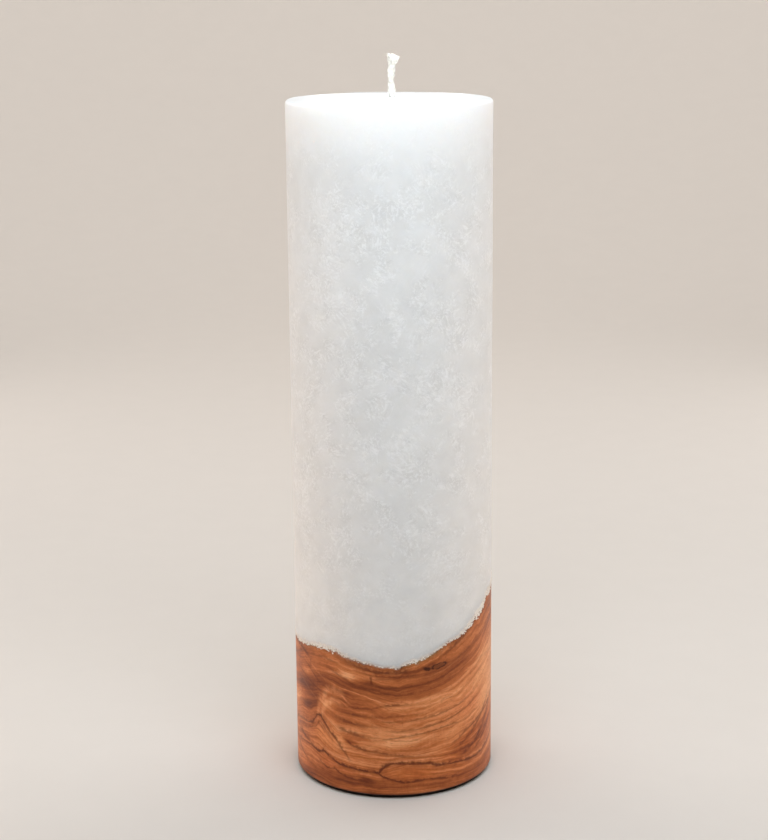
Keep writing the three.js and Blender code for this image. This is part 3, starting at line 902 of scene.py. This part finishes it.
    # inner bark under it: olive brown and deep in places, elsewhere a dark line
    band = n.add(n.mul(olive, 1.5), n.add(0.18, n.mul(wander, 0.6)))
    bark = n.range(n.math("DIVIDE", edge, n.math("MAXIMUM", band, 0.12)), 0.55, 1.15, 1.0, 0.0)
    mottled = n.mix(n.range(n.noise(p, 1.3, 3, 0.6), 0.35, 0.65), srgb(118, 78, 42), srgb(166, 128, 86))
    colour = n.mix(n.mul(bark, n.add(0.35, n.mul(olive, 0.55))), colour, mottled)
    line = n.add(0.30, n.mul(rind, n.add(0.60, n.mul(wander, 0.7))))
    line = n.range(n.math("DIVIDE", edge, n.math("MAXIMUM", line, 0.1)), 0.5, 1.2, 1.0, 0.0)
    colour = n.mix(n.mul(line, n.add(0.30, n.mul(rind, 0.58))), colour, srgb(92, 44, 20))

    # wax that has run thinly over the bark, and crumbs of it caught there
    film = n.add(n.mul(veil, 1.5), n.add(0.28, n.mul(wander, 0.45)))
    film = n.range(n.math("DIVIDE", edge, n.math("MAXIMUM", film, 0.1)), 0.0, 1.05, 0.92, 0.0)
    film = n.mul(film, n.range(n.noise(p, 1.8, 3, 0.7), 0.30, 0.62, 0.55, 1.0))
    film = n.mul(film, n.add(0.25, n.mul(veil, 0.65)))
    colour = n.mix(film, colour, srgb(222, 204, 190))
    crumbs = n.noise(p, 1.9, 3, 0.7)
    reach = n.add(0.35, n.mul(frost, 1.5))
    need = n.range(n.math("DIVIDE", edge, reach), -0.1, 1.0, 0.44, 0.66, smooth=False)
    crumb = n.range(n.sub(crumbs, need), 0.0, 0.04)
    crumb = n.mul(crumb, n.mul(n.range(frost, 0.1, 0.5), n.range(edge, 1.6, 2.6, 1.0, 0.0)))
    colour = n.mix(n.mul(crumb, 0.95), colour, srgb(246, 232, 216))

    # the lathe-turned rounding at the foot a little darker, and its lowest millimetre much darker: painted shade of
    # the downward-facing edge over the gap under the base
    foot = n.range(pz, WOOD_Z + 0.1, WOOD_Z + 2.2, 1.0, 0.0)
    colour = n.mix(n.mul(foot, 0.35), colour, srgb(110, 58, 30))
    # painted shade: the lowest millimetre of the wood, in the shadow over the felt
    painted_sole_shade = n.range(pz, WOOD_Z + 0.2, WOOD_Z + 1.0, 1.0, 0.0)
    colour = n.mix(n.mul(painted_sole_shade, 0.78), colour, srgb(48, 20, 9))

    colour = n.mix(1.0, colour, (1.07, 1.05, 1.0, 1), "MULTIPLY")
    n.set(Base_Color=colour, Specular_IOR_Level=0.24, IOR=1.47)
    gloss = n.add(0.42, centred(middle, 0.18))
    gloss = n.add(gloss, n.mul(pore, 0.15))
    gloss = n.add(gloss, n.mul(n.math("MAXIMUM", crumb, film), 0.20))
    n.set(Roughness=gloss)
    n.set(Coat_Weight=0.04, Coat_Roughness=0.28)
    relief = n.add(n.mul(hair, 0.5), n.mul(fine, 0.6))
    relief = n.sub(relief, n.mul(pore, 0.9))
    relief = n.sub(relief, n.mul(ink, 0.5))
    relief = n.sub(relief, n.mul(knot, 1.2))
    relief = n.add(relief, n.mul(n.math("MAXIMUM", crumb, n.mul(film, 0.6)), 1.8))
    n.set(Normal=n.bump(relief, 0.00007, 0.6))
    return n.material


wood.data.materials.append(wood_material())

# ---------------------------------------------------------------- the wax ----------

# The wick's free end: height above the wax, half width, centre towards +X.
WICK_LINE = [
    (-230.0, 1.25, 0.0), (-3.0, 1.25, 1.0), (0.0, 1.35, 1.0), (1.2, 1.5, 1.05), (3.4, 1.49, 1.04),
    (5.2, 1.3, 0.89), (6.9, 1.15, 0.70), (10.0, 1.35, 0.91), (13.1, 1.63, 1.18),
    (14.5, 1.95, 1.48), (16.1, 2.38, 1.70), (17.6, 2.45, 1.62), (19.5, 2.5, 1.6),
]  # fmt: skip
_W = np.array(WICK_LINE)


def wick_half(h):
    return np.interp(h, _W[:, 0], _W[:, 1])


def wick_centre(h):
    return np.interp(h, _W[:, 0], _W[:, 2])


def wax_mesh():
    floor = float(CUP_LOW[2]) + 0.5
    flange = float(CUP_HIGH[2])
    bore = 1.2
    neck = float(HOLDER_HIGH[2])
    inner = float(CUP_HIGH[0]) - 1.9 - 0.5 - 0.3  # the plug of wax in the cup
    rows = [
        (2.45, neck + 0.3), (2.45, floor + 2.5), (3.2, floor + 1.4), (4.55, floor + 0.8),
        (8.3, floor + 0.8), (8.3, floor + 0.3), (13, floor + 0.3), (inner - 1, floor + 0.3),
        (inner, floor + 1.3), (inner, flange + 0.3), (21.9, flange + 0.3),
        (21.9, SEAT_Z + 0.3), (SEAT_R - 0.3, SEAT_Z + 0.3),
        (SEAT_R - 0.3, log_face(SEAT_R - 0.3)),
    ]  # fmt: skip
    for r in (26.5, 29, 32, 35, 37, 38.4, 39.2, 39.7):
        rows.append((r, log_face(r)))
    # the wall: close rows above the wood, then even ones
    relief = smooth_noise(160, N, 9, 22, 21) * 0.035 + smooth_noise(160, N, 3, 5, 22) * 0.012
    crumbs = np.abs(smooth_noise(10, N, 0.8, 1.3, 23))
    heights = [0, 0.25, 0.5, 0.8, 1.15, 1.6, 2.2, 3.0]
    ramp = [0.0, 0.9, 1.0, 0.85, 0.55, 0.3, 0.12, 0.0]
    for j, (h, w) in enumerate(zip(heights, ramp)):
        rows.append((R + 0.07 * w * FROST * crumbs[j], EDGE + h))
    top = WAX_TOP - RIM
    steps = 66
    for j in range(1, steps + 1):
        t = j / steps
        low = EDGE + 3.0 + (SMOOTH_EDGE - EDGE) * min(1, t * 8)
        fade = min(1, t * 6) * min(1, (1 - t) * 14)
        rows.append((R + relief[j % 160] * fade, low + (top - low) * t))
    uneven = ring_noise(N, 26, 24) * 0.05
    for a in np.linspace(0, 90, 9)[1:]:
        c, s = math.cos(math.radians(a)), math.sin(math.radians(a))
        rows.append((R - RIM + RIM * c, WAX_TOP - RIM + RIM * s + uneven * (a / 90)))
    face = smooth_noise(40, N, 4, 50, 25) * 0.045
    radii = [37.6, 36.6, 35.2, 33.6, 31.6, 29.2, 26.6, 24, 21.4, 18.8, 16.2, 13.6, 11,
             9, 7.2, 5.8, 4.8, 4.0, 3.3, 2.8, 2.4, 2.1, 1.85, 1.6]  # fmt: skip
    for j, r in enumerate(radii):
        dish = -0.28 * (1 - (r / (R - RIM)) ** 2)
        climb = 0.95 * math.exp(-((r - 1.5) / 0.8)) if r < 9 else 0
        sway = uneven * max(0, (r - 30) / 8.4) + face[j] * min(1, r / 30)
        shift = float(wick_centre(0.0)) * max(0, min(1, (9 - r) / 5))
        rows.append((r, WAX_TOP + dish + climb + sway, shift))
    rows.append((bore, WAX_TOP + 0.55, float(wick_centre(0.0))))
    for z in (WAX_TOP - 3, 200, 120, neck + 8):
        rows.append((bore, z, float(wick_centre(z - WAX_TOP))))
    rows.append((bore, neck + 0.3, 0.0))
    return revolve(rows, N, closed=True)


wax = build("wax_pillar", *wax_mesh())


def paint_wax(ob):
    co = positions(ob)
    angle = np.mod(np.degrees(np.arctan2(co[:, 0], -co[:, 1])), 360)
    attribute(ob, "edge", np.clip(co[:, 2] - at_angle(EDGE, angle), -5, 300))
    attribute(ob, "frost", at_angle(FROST, angle))


paint_wax(wax)


def wax_material():
    n = Nodes("wax_crystalline")
    p = n.place()
    px, py, pz = n.split(p)
    edge = n.attr("edge")
    frost = n.attr("frost")

    # Feathery crystals: the wall is divided into cells with wobbling borders, and
    # each cell is streaked in a direction of its own.
    wobble = n.node("TexNoise")
    n.put(wobble.inputs["Vector"], p)
    wobble.inputs["Scale"].default_value = 0.42
    wobble.inputs["Detail"].default_value = 3
    moved = n.vec("ADD", p, n.vec("SCALE", n.vec("SUBTRACT", wobble.outputs["Color"], (0.5, 0.5, 0.5)), scale=6.0))

    def feathers(cell, long, short, seed):
        v = n.node("TexVoronoi", feature="F1")
        n.put(v.inputs["Vector"], n.vec("ADD", moved, (seed, seed * 1.7, seed * 0.6)))
        v.inputs["Scale"].default_value = 1 / cell
        way = n.vec("NORMALIZE", n.vec("SUBTRACT", v.outputs["Color"], (0.5, 0.5, 0.5)))
        along = n.vec("DOT_PRODUCT", p, way)
        q = n.vec("SCALE", p, scale=1 / short)
        q = n.vec("SUBTRACT", q, n.vec("SCALE", way, scale=n.mul(along, 1 / short - 1 / long)))
        q = n.vec("ADD", q, n.vec("SCALE", v.outputs["Color"], scale=40.0))
        return n.noise(q, 1.0, 1, 0.5), v.outputs["Color"]

    large, cell_a = feathers(5.4, 3.6, 0.95, 3.0)
    small, cell_b = feathers(2.6, 2.0, 0.62, 17.0)
    clumps = n.noise(p, 0.10, 3, 0.62)
    # more of them over the middle height, few at the foot
    height = n.mul(
        n.range(pz, 66.0, 120.0, 0.35, 1.0), n.range(pz, 225.0, 268.0, 1.0, 0.5)
    )
    dense = n.mul(n.range(clumps, 0.42, 0.58, 0.12, 1.0), height)
    bright = n.add(
        n.mul(n.range(large, 0.54, 0.66), 0.85), n.mul(n.range(small, 0.56, 0.68), 0.75)
    )
    bright = n.math("MINIMUM", n.mul(bright, dense), 1.0)
    dull = n.mul(n.range(large, 0.34, 0.45, 1.0, 0.0), dense)
    shade_a = n.split(cell_a)[0]
    shade_b = n.split(cell_b)[1]
    mottle = n.add(n.mul(n.sub(shade_a, 0.5), 0.7), n.mul(n.sub(shade_b, 0.5), 0.5))
    mottle = n.mul(mottle, dense)
    cloud = n.sub(n.noise(p, 0.045, 3, 0.55), 0.5)
    patch = n.sub(n.noise(p, 0.16, 2, 0.5), 0.5)

    tone = n.add(0.5, n.add(n.mul(mottle, 0.62), n.add(n.mul(cloud, 1.1), n.mul(patch, 0.9))))
    tone = n.sub(tone, n.mul(dull, 0.35))
    base = n.mix(tone, (0.745, 0.745, 0.740, 1), (0.860, 0.862, 0.860, 1))
    base = n.mix(n.mul(bright, 0.62), base, (0.945, 0.950, 0.955, 1))
    # whiter towards the upper rim, but not on the top face: painted light, the glow of the light from above along
    # the rim
    painted_rim_light = n.mul(n.range(pz, 246.0, 271.0), n.range(pz, 273.5, 274.0, 1.0, 0.0))
    base = n.mix(n.mul(painted_rim_light, 0.80), base, (0.950, 0.948, 0.946, 1))
    # bark dust caught in the wax along the edge, and the frosty rim of it
    dust = n.noise(p, 1.9, 3, 0.7)
    need = n.range(n.math("DIVIDE", edge, n.add(0.18, n.mul(frost, 1.1))), 0.0, 1.0, 0.50, 0.72, smooth=False)
    dust = n.mul(n.range(n.sub(dust, need), 0.0, 0.05), n.range(frost, 0.15, 0.6))
    dust = n.mul(dust, n.range(edge, 1.2, 2.0, 1.0, 0.0))
    frosty = n.mul(n.range(edge, 0.1, 4.2, 1.0, 0.0), frost)
    base = n.mix(n.mul(frosty, 0.45), base, (0.955, 0.94, 0.925, 1))
    speck = n.range(n.noise(p, 1.5, 2, 0.6), 0.51, 0.60)
    base = n.mix(n.mul(speck, n.mul(frosty, 0.9)), base, (0.985, 0.965, 0.945, 1))
    stain = n.range(n.math("DIVIDE", edge, n.add(0.7, frost)), 0.2, 1.4, 1.0, 0.0)
    base = n.mix(n.mul(stain, 0.55), base, (0.93, 0.79, 0.70, 1))
    base = n.mix(n.mul(dust, 0.9), base, srgb(134, 84, 52))

    n.set(Base_Color=base, IOR=1.44, Specular_IOR_Level=0.45)
    n.set(Subsurface_Weight=0.55, Subsurface_Scale=0.010)
    n.bsdf.inputs["Subsurface Radius"].default_value = (1.0, 0.9, 0.8)
    gloss = n.sub(0.52, n.mul(bright, 0.14))
    gloss = n.add(gloss, n.mul(cloud, 0.15))
    n.set(Roughness=gloss)
    relief = n.add(n.mul(bright, 0.6), n.mul(mottle, 0.4))
    relief = n.add(relief, n.mul(n.noise(p, 2.2, 2), 0.3))
    relief = n.add(relief, n.mul(n.mul(dust, frost), -0.6))
    n.set(Normal=n.bump(relief, 0.00007, 0.7))
    return n.material


wax.data.materials.append(wax_material())

# ---------------------------------------------------------------- the bark line ----
# Crumbs of frosted wax and flecks of bark, half sunk in the wall along the live edge.

_G = (1 + 5**0.5) / 2
_ICO_V = np.array([(-1, _G, 0), (1, _G, 0), (-1, -_G, 0), (1, -_G, 0), (0, -1, _G), (0, 1, _G),
                   (0, -1, -_G), (0, 1, -_G), (_G, 0, -1), (_G, 0, 1), (-_G, 0, -1), (-_G, 0, 1)])
_ICO_V = _ICO_V / np.linalg.norm(_ICO_V[0])
_ICO_F = [(0, 11, 5), (0, 5, 1), (0, 1, 7), (0, 7, 10), (0, 10, 11), (1, 5, 9), (5, 11, 4),
          (11, 10, 2), (10, 7, 6), (7, 1, 8), (3, 9, 4), (3, 4, 2), (3, 2, 6), (3, 6, 8),
          (3, 8, 9), (4, 9, 5), (2, 4, 11), (6, 2, 10), (8, 6, 7), (9, 8, 1)]  # fmt: skip


def lump():
    """The points and faces of an icosahedron divided once."""
    verts = [tuple(v) for v in _ICO_V]
    known, faces = {}, []

    def middle(a, b):
        key = (min(a, b), max(a, b))
        if key not in known:
            m = np.add(verts[a], verts[b])
            verts.append(tuple(m / np.linalg.norm(m)))
            known[key] = len(verts) - 1
        return known[key]

    for a, b, c in _ICO_F:
        ab, bc, ca = middle(a, b), middle(b, c), middle(c, a)
        faces += [(a, ab, ca), (b, bc, ab), (c, ca, bc), (ab, bc, ca)]
    return np.array(verts), faces


LUMP_V, LUMP_F = lump()


def crumbs(name, count, weight, rise, spread, sizes, seed):
    """Lumps along the live edge, thick on the ground where weight is high."""
    rng = np.random.RandomState(seed)
    chance = np.clip(weight, 0, None) ** 1.3
    places = rng.choice(N, count, p=chance / chance.sum())
    verts, faces = [], []
    for k, i in enumerate(places):
        angle = math.radians(COLUMN[i] + rng.uniform(-0.25, 0.25))
        size = rng.uniform(*sizes) * (0.7 + 0.5 * weight[i])
        height = EDGE[i] + rise + rng.normal(0, spread) * (0.45 + weight[i])
        out = np.array([math.sin(angle), -math.cos(angle), 0.0])
        side = np.array([math.cos(angle), math.sin(angle), 0.0])
        up = np.array([0.0, 0.0, 1.0])
        rough = 1 + 0.28 * rng.standard_normal((len(LUMP_V), 1)).clip(-1.6, 1.6)
        shape = LUMP_V * rough * [rng.uniform(0.8, 1.5), 0.55, rng.uniform(0.7, 1.1)] * size
        centre = out * (R - 0.18 * size) + up * height
        verts.append(centre + shape[:, :1] * side + shape[:, 1:2] * out + shape[:, 2:] * up)
        faces += [tuple(j + k * len(LUMP_V) for j in f) for f in LUMP_F]
    return build(name, np.concatenate(verts), faces)


wax_crumbs = crumbs("wax_crumbs", 2300, FROST, -0.02, 0.50, (0.12, 0.46), 41)
bark_flecks = crumbs("bark_flecks", 300, np.clip(0.25 * FROST + 0.75 * RIND, 0, 1), -0.75, 0.34, (0.08, 0.20), 42)


def crumb_material():
    n = Nodes("wax_frosted_crumbs")
    p = n.place()
    grain = n.noise(p, 3.2, 3, 0.6)
    base = n.mix(n.range(grain, 0.38, 0.62), srgb(246, 234, 220), srgb(255, 251, 245))
    n.set(Base_Color=base, Specular_IOR_Level=0.8, Roughness=n.range(grain, 0.3, 0.7, 0.24, 0.42))
    n.set(Normal=n.bump(grain, 0.00006, 0.6))
    return n.material


def fleck_material():
    n = Nodes("bark_dark")
    p = n.place()
    grain = n.noise(p, 2.4, 3, 0.65)
    base = n.mix(n.range(grain, 0.36, 0.64), srgb(62, 30, 14), srgb(142, 88, 50))
    n.set(Base_Color=base, Specular_IOR_Level=0.25, Roughness=n.range(grain, 0.3, 0.7, 0.7, 0.92))
    n.set(Normal=n.bump(grain, 0.0001, 0.7))
    return n.material


wax_crumbs.data.materials.append(crumb_material())
bark_flecks.data.materials.append(fleck_material())

# ---------------------------------------------------------------- the wick ---------

DEPTH = 0.86  # the wick is a little thinner front to back
CUT = WICK_TIP - WAX_TOP - 0.1  # where its strands end above the wax


def wick_paths():
    rng = np.random.RandomState(5)
    core, plies, hairs = [], [], []
    # the length inside the wax, down into the holder, and the heart of the braid
    zs = np.concatenate([[WICK_LOW[2], WICK_LOW[2] + 0.6, 60, 110, 160, 210, 255, WAX_TOP - 2], np.arange(WAX_TOP - 1, WAX_TOP + CUT - 0.2, 0.6)])
    radii = [0.75 if z < WAX_TOP - 1.5 else 0.66 * float(wick_half(z - WAX_TOP)) for z in zs]
    radii[-1] *= 0.9
    core.append((np.array([[float(wick_centre(z - WAX_TOP)), 0, z] for z in zs]), radii))
    pitch = 11.0
    for direction in (1, -1):
        for k in range(4):
            start = k * TAU / 4 + (0.35 if direction < 0 else 0)
            for ply in range(3):
                cut = CUT + rng.uniform(-0.25, 0.2)
                h = np.arange(-1.6, cut + 0.01, 0.3)
                phi = start + direction * TAU * h / pitch
                # over two, under two, where it crosses the strands of the other hand
                over = np.sin(4 * direction * TAU * h / pitch + 2 * start + (0 if direction > 0 else math.pi))
                spin = TAU * h / 3.1 + ply * TAU / 3
                half = wick_half(h)
                own = 0.185 * half / 1.3
                free = np.clip((h - CUT + 4.4) / 4.2, 0, 1)
                rad = 0.70 * half + 0.10 * half * over + own * np.cos(spin) * 0.95
                phi = phi + own * np.sin(spin) * 0.95 / np.maximum(0.7 * half, 0.2)
                # the strands come apart at the cut
                rad = rad * (1 + 0.05 * free * rng.uniform(-1, 1))
                phi = phi + free * rng.uniform(-0.14, 0.14)
                x = wick_centre(h) + rad * np.sin(phi)
                y = -DEPTH * rad * np.cos(phi)
                z = WAX_TOP + h - 0.32 * free * (x - 1.6)
                thick = own * (1.0 + 0.05 * np.sin(h * 5 + ply)) * 1.16
                thick = thick * (1 - 0.25 * np.clip((h - cut + 0.7) / 0.7, 0, 1))
                plies.append((np.stack([x, y, z], 1), thick))
                # loose fibres out of the cut end
                tip = np.array([x[-1], y[-1], z[-1]])
                out = np.array([x[-1] - 1.6, y[-1], 0.0])
                for _ in range(3):
                    length = rng.uniform(0.2, 0.6)
                    lean = out * rng.uniform(0.0, 0.35) + rng.normal(0, 0.25, 3) * [1, 1, 0]
                    s = np.linspace(-0.4, 1, 5)[:, None]
                    bend = rng.normal(0, 0.22, 3) * [1, 1, 0]
                    line = tip + rng.normal(0, 0.1, 3) * [1, 1, 0] + s * length * np.array([0, 0, 1]) * 0.8
                    line = line + s * lean * 0.6 + s**2 * bend
                    hairs.append((line, np.linspace(0.055, 0.028, 5)))
    # a few strays along the braid
    for _ in range(26):
        h = rng.uniform(1.0, 15.5)
        phi = rng.uniform(0, TAU)
        half = float(wick_half(h))
        a = np.array([float(wick_centre(h)) + 0.85 * half * math.sin(phi), -DEPTH * 0.85 * half * math.cos(phi), WAX_TOP + h])
        away = np.array([math.sin(phi), -math.cos(phi), 0])
        s = np.linspace(0, 1, 6)[:, None]
        reach = rng.uniform(0.15, 0.45)
        line = a + away * np.sin(s * math.pi * 0.8) * reach + s * np.array([rng.normal(0, 0.2), rng.normal(0, 0.2), rng.uniform(0.5, 1.6)])
        hairs.append((line, np.linspace(0.035, 0.02, 6)))
    return core, plies, hairs


def wick_object():
    core, plies, hairs = wick_paths()
    verts, faces = [], []
    count = 0
    for paths, sides in ((core, 16), (plies, 7), (hairs, 5)):
        v, f = tubes(paths, sides)
        verts.append(v)
        faces += [tuple(i + count for i in face) for face in f]
        count += len(v)
    return build("wick_braided", np.concatenate(verts), faces)


wick = wick_object()


def cotton_material():
    n = Nodes("wick_cotton_primed")
    p = n.place()
    px, py, pz = n.split(p)
    fibre = n.noise(n.combine(n.mul(px, 7.0), n.mul(py, 7.0), n.mul(pz, 2.2)), 1.0, 3, 0.6)
    blotch = n.noise(p, 0.7, 2)
    base = n.mix(n.range(fibre, 0.3, 0.72), (0.76, 0.71, 0.62, 1), (0.93, 0.91, 0.86, 1))
    base = n.mix(n.mul(n.range(blotch, 0.45, 0.75), 0.35), base, (0.88, 0.85, 0.78, 1))
    # wax has climbed the first millimetres
    waxed = n.range(pz, WAX_TOP + 0.4, WAX_TOP + 4.0, 1.0, 0.0)
    base = n.mix(n.mul(waxed, 0.6), base, (0.90, 0.89, 0.87, 1))
    n.set(Base_Color=base, Specular_IOR_Level=0.4)
    n.set(Roughness=n.sub(0.78, n.mul(waxed, 0.25)))
    n.set(Sheen_Weight=0.25, Sheen_Roughness=0.5)
    n.set(Normal=n.bump(fibre, 0.00004, 0.5))
    return n.material


wick.data.materials.append(cotton_material())

# ---------------------------------------------------------------- the felt ---------


def felt_object():
    rad = float(FELT_HIGH[0])
    thick = float(FELT_HIGH[2] - FELT_LOW[2])
    z0 = float(FELT_LOW[2])
    n = 360
    wavy = ring_noise(n, 3, 31) * 0.06 + ring_noise(n, 14, 32) * 0.09 - 0.12
    under = np.abs(smooth_noise(60, n, 0.7, 1.2, 33)) * 0.05
    rows = [(0, z0 + 0.03)]
    for j, r in enumerate(np.linspace(1.2, rad - 1.0, 34)):
        rows.append((r, z0 + under[j]))
    for a in np.linspace(0, 90, 5):
        c, s = math.cos(math.radians(a)), math.sin(math.radians(a))
        rows.append((rad - 0.35 + 0.35 * s + wavy, z0 + 0.35 - 0.35 * c))
    for t in (0.45, 0.65, 0.85):
        rows.append((rad + wavy + 0.03 * under[int(t * 20)] * 10, z0 + 0.35 + (thick - 0.35) * t))
    rows += [(rad - 0.15 + wavy, z0 + thick - 0.02), (rad - 3, z0 + thick - 0.02), (0, z0 + thick - 0.02)]
    v, f = revolve(rows, n)
    # fibres that stand out of the cut rim, so many and so long that they also darken the floor round the pad:
    # partly painted shade, a contact shadow
    rng = np.random.RandomState(34)
    hairs = []
    for _ in range(2800):
        a = rng.uniform(0, TAU)
        z = z0 + rng.uniform(0.15, thick - 0.25)
        start = np.array([(rad - 0.3) * math.sin(a), -(rad - 0.3) * math.cos(a), z])
        out = np.array([math.sin(a), -math.cos(a), 0])
        side = np.array([math.cos(a), math.sin(a), 0])
        s = np.linspace(0, 1, 4)[:, None]
        line = start + out * s * rng.uniform(0.4, 1.15) + side * s**2 * rng.normal(0, 0.5)
        line = line + np.array([0, 0, 1]) * s * rng.uniform(-0.12, 0.12)
        hairs.append((line, np.linspace(0.035, 0.02, 4)))
    hv, hf = tubes(hairs, 4)
    faces = [tuple(x) for x in f] + [tuple(i + len(v) for i in face) for face in hf]
    return build("felt_foot", np.concatenate([v, hv]), faces)


felt = felt_object()


def felt_material():
    n = Nodes("felt_dark_and_painted_shadow")
    p = n.place()
    fibre = n.noise(p, 4.5, 4, 0.7, 1.2)
    curl = n.noise(p, 1.3, 3, 0.6, 2.0)
    # dark felt, made near-black so that its rim also stands in for the contact shadow line under the base: partly
    # painted shade
    base = n.mix(n.range(fibre, 0.3, 0.7), srgb(10, 8, 6), srgb(34, 28, 23))
    base = n.mix(n.mul(n.range(curl, 0.5, 0.7), 0.5), base, srgb(44, 37, 31))
    n.set(Base_Color=base, Specular_IOR_Level=0.2)
    n.set(Roughness=n.range(fibre, 0.2, 0.8, 0.86, 1.0))
    n.set(Sheen_Weight=0.08, Sheen_Roughness=0.6)
    n.set(Normal=n.bump(n.add(fibre, n.mul(curl, 0.6)), 0.00025, 0.7))
    return n.material


felt.data.materials.append(felt_material())

# ---------------------------------------------------------------- the tinplate -----


def tin_material(name, tint, along):
    n = Nodes(name)
    p = n.place()
    px, py, pz = n.split(p)
    radius = n.math("SQRT", n.add(n.mul(px, px), n.mul(py, py)))
    # drawing lines run round the pressing
    lines = n.noise(n.combine(n.mul(radius, along), 0.0, n.mul(pz, along)), 1.0, 3, 0.6)
    spangle = n.node("TexVoronoi", feature="F1")
    n.put(spangle.inputs["Vector"], p)
    spangle.inputs["Scale"].default_value = 0.35
    grey = n.add(n.mul(n.sub(n.split(spangle.outputs["Color"])[0], 0.5), 0.10), n.mul(n.sub(lines, 0.5), 0.16))
    dark = tuple(c * 0.78 for c in tint) + (1,)
    base = n.mix(n.add(0.5, n.mul(grey, 2.0)), dark, tuple(tint) + (1,))
    n.set(Base_Color=base, Metallic=1.0)
    n.set(Roughness=n.add(0.28, n.mul(lines, 0.22)))
    n.set(Normal=n.bump(lines, 0.00002, 0.5))
    return n.material


def refinish(node, material):
    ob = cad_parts[node]
    if not ob.material_slots:
        ob.data.materials.append(material)
    for slot in ob.material_slots:
        slot.material = material


refinish("insert_cup", tin_material("cup_tinplate", (0.74, 0.75, 0.76), 5.0))
refinish("wick_sustainer", tin_material("sustainer_tinplate", (0.70, 0.71, 0.73), 8.0))

# ---------------------------------------------------------------- stage and light --


def plain(name, colour, roughness):
    n = Nodes(name)
    p = n.place()
    grain = n.noise(p, 0.05, 3)
    lighter = tuple(min(1, c * 1.03) for c in colour[:3]) + (1,)
    n.set(Base_Color=n.mix(grain, colour, lighter), Roughness=roughness, Specular_IOR_Level=0.2)
    return n.material


def stage_objects():
    # a round floor that sweeps up into a wall all round the candle
    rows = [(0, 0.0)] + [(r, 0.0) for r in (120.0, 260.0, 420.0, 600.0, 800.0)]
    for a in np.linspace(0, 90, 33):
        c, s = math.cos(math.radians(a)), math.sin(math.radians(a))
        rows.append((950 + 1250 * s, 1250 * (1 - c)))
    rows += [(2200.0, 1800.0), (2200.0, 2600.0), (2200.0, 3600.0)]
    floor = build("floor_cove", *revolve(rows, 96))
    floor.data.materials.append(plain("floor_pale", (0.74, 0.695, 0.65, 1), 0.85))


stage_objects()


def area(name, place, aim, size, watts, colour=(1, 1, 1), spread=180):
    data = bpy.data.lights.new(name, "AREA")
    data.shape = "RECTANGLE"
    data.size, data.size_y = size
    data.energy = watts
    data.color = colour
    data.spread = math.radians(spread)
    ob = bpy.data.objects.new(name, data)
    ob.location = place
    ob.rotation_euler = (Vector(aim) - Vector(place)).to_track_quat("-Z", "Y").to_euler()
    ob.visible_camera = False
    scene.collection.objects.link(ob)
    return ob


LIGHTS = [
    ("crown", (0.0, 0.0, 0.345), (0, 0, 0.27), (0.054, 0.054), 0.018, (1.0, 1.0, 1.0), 10),
    ("front_high", (-0.02, -0.20, 0.42), (0, 0, 0.27), (0.80, 0.08), 0.30, (0.84, 0.94, 1.0), 120),
    ("key", (0.05, -0.34, 0.55), (0, 0, 0.22), (0.50, 0.30), 1.63, (0.85, 0.932, 1.0)),
    ("top", (0.0, 0.10, 0.80), (0, 0, 0.20), (0.50, 0.50), 1.2, (0.92, 0.97, 1.0)),
    ("left_panel", (-0.62, -0.20, 0.20), (0, 0, 0.18), (0.50, 0.36), 0.52, (0.93, 0.94, 0.95)),
    ("right_panel", (0.62, -0.20, 0.20), (0, 0, 0.18), (0.50, 0.36), 0.38, (0.93, 0.94, 0.95)),
    ("left_low", (-0.38, -0.08, 0.05), (0, 0, 0.05), (0.34, 0.08), 0.125, (1.0, 0.66, 0.42), 130),
    ("right_low", (0.38, -0.08, 0.05), (0, 0, 0.05), (0.34, 0.08), 0.10, (1.0, 0.68, 0.44), 130),
    ("left_back", (-0.60, 0.45, 0.30), (0, 0, 0.13), (0.6, 0.7), 0.95, (0.98, 0.90, 0.85)),
    ("right_back", (0.60, 0.45, 0.30), (0, 0, 0.13), (0.6, 0.7), 1.1, (0.97, 0.95, 0.94)),
    ("backdrop", (0.0, 0.55, 1.6), (0, 2.1, 0.7), (2.6, 1.0), 26.0, (1.0, 0.98, 0.96)),
]
for light in LIGHTS:
    area(*light)

world = bpy.data.worlds.new("world")
world.use_nodes = True
world.node_tree.nodes["Background"].inputs[0].default_value = (1.0, 0.98, 0.955, 1)
world.node_tree.nodes["Background"].inputs[1].default_value = 0.03
scene.world = world

# ---------------------------------------------------------------- table ------------

for piece, node, slot in (
    (wood, "wood_base", "olive_wood"),
    (wax, "wax_body", "wax"),
    (wick, "wick", "cotton"),
    (felt, "felt_pad", "felt"),
    (wax_crumbs, None, "wax"),
    (bark_flecks, None, "olive_wood"),
):
    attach(piece, "root")
    if node:
        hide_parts(node)
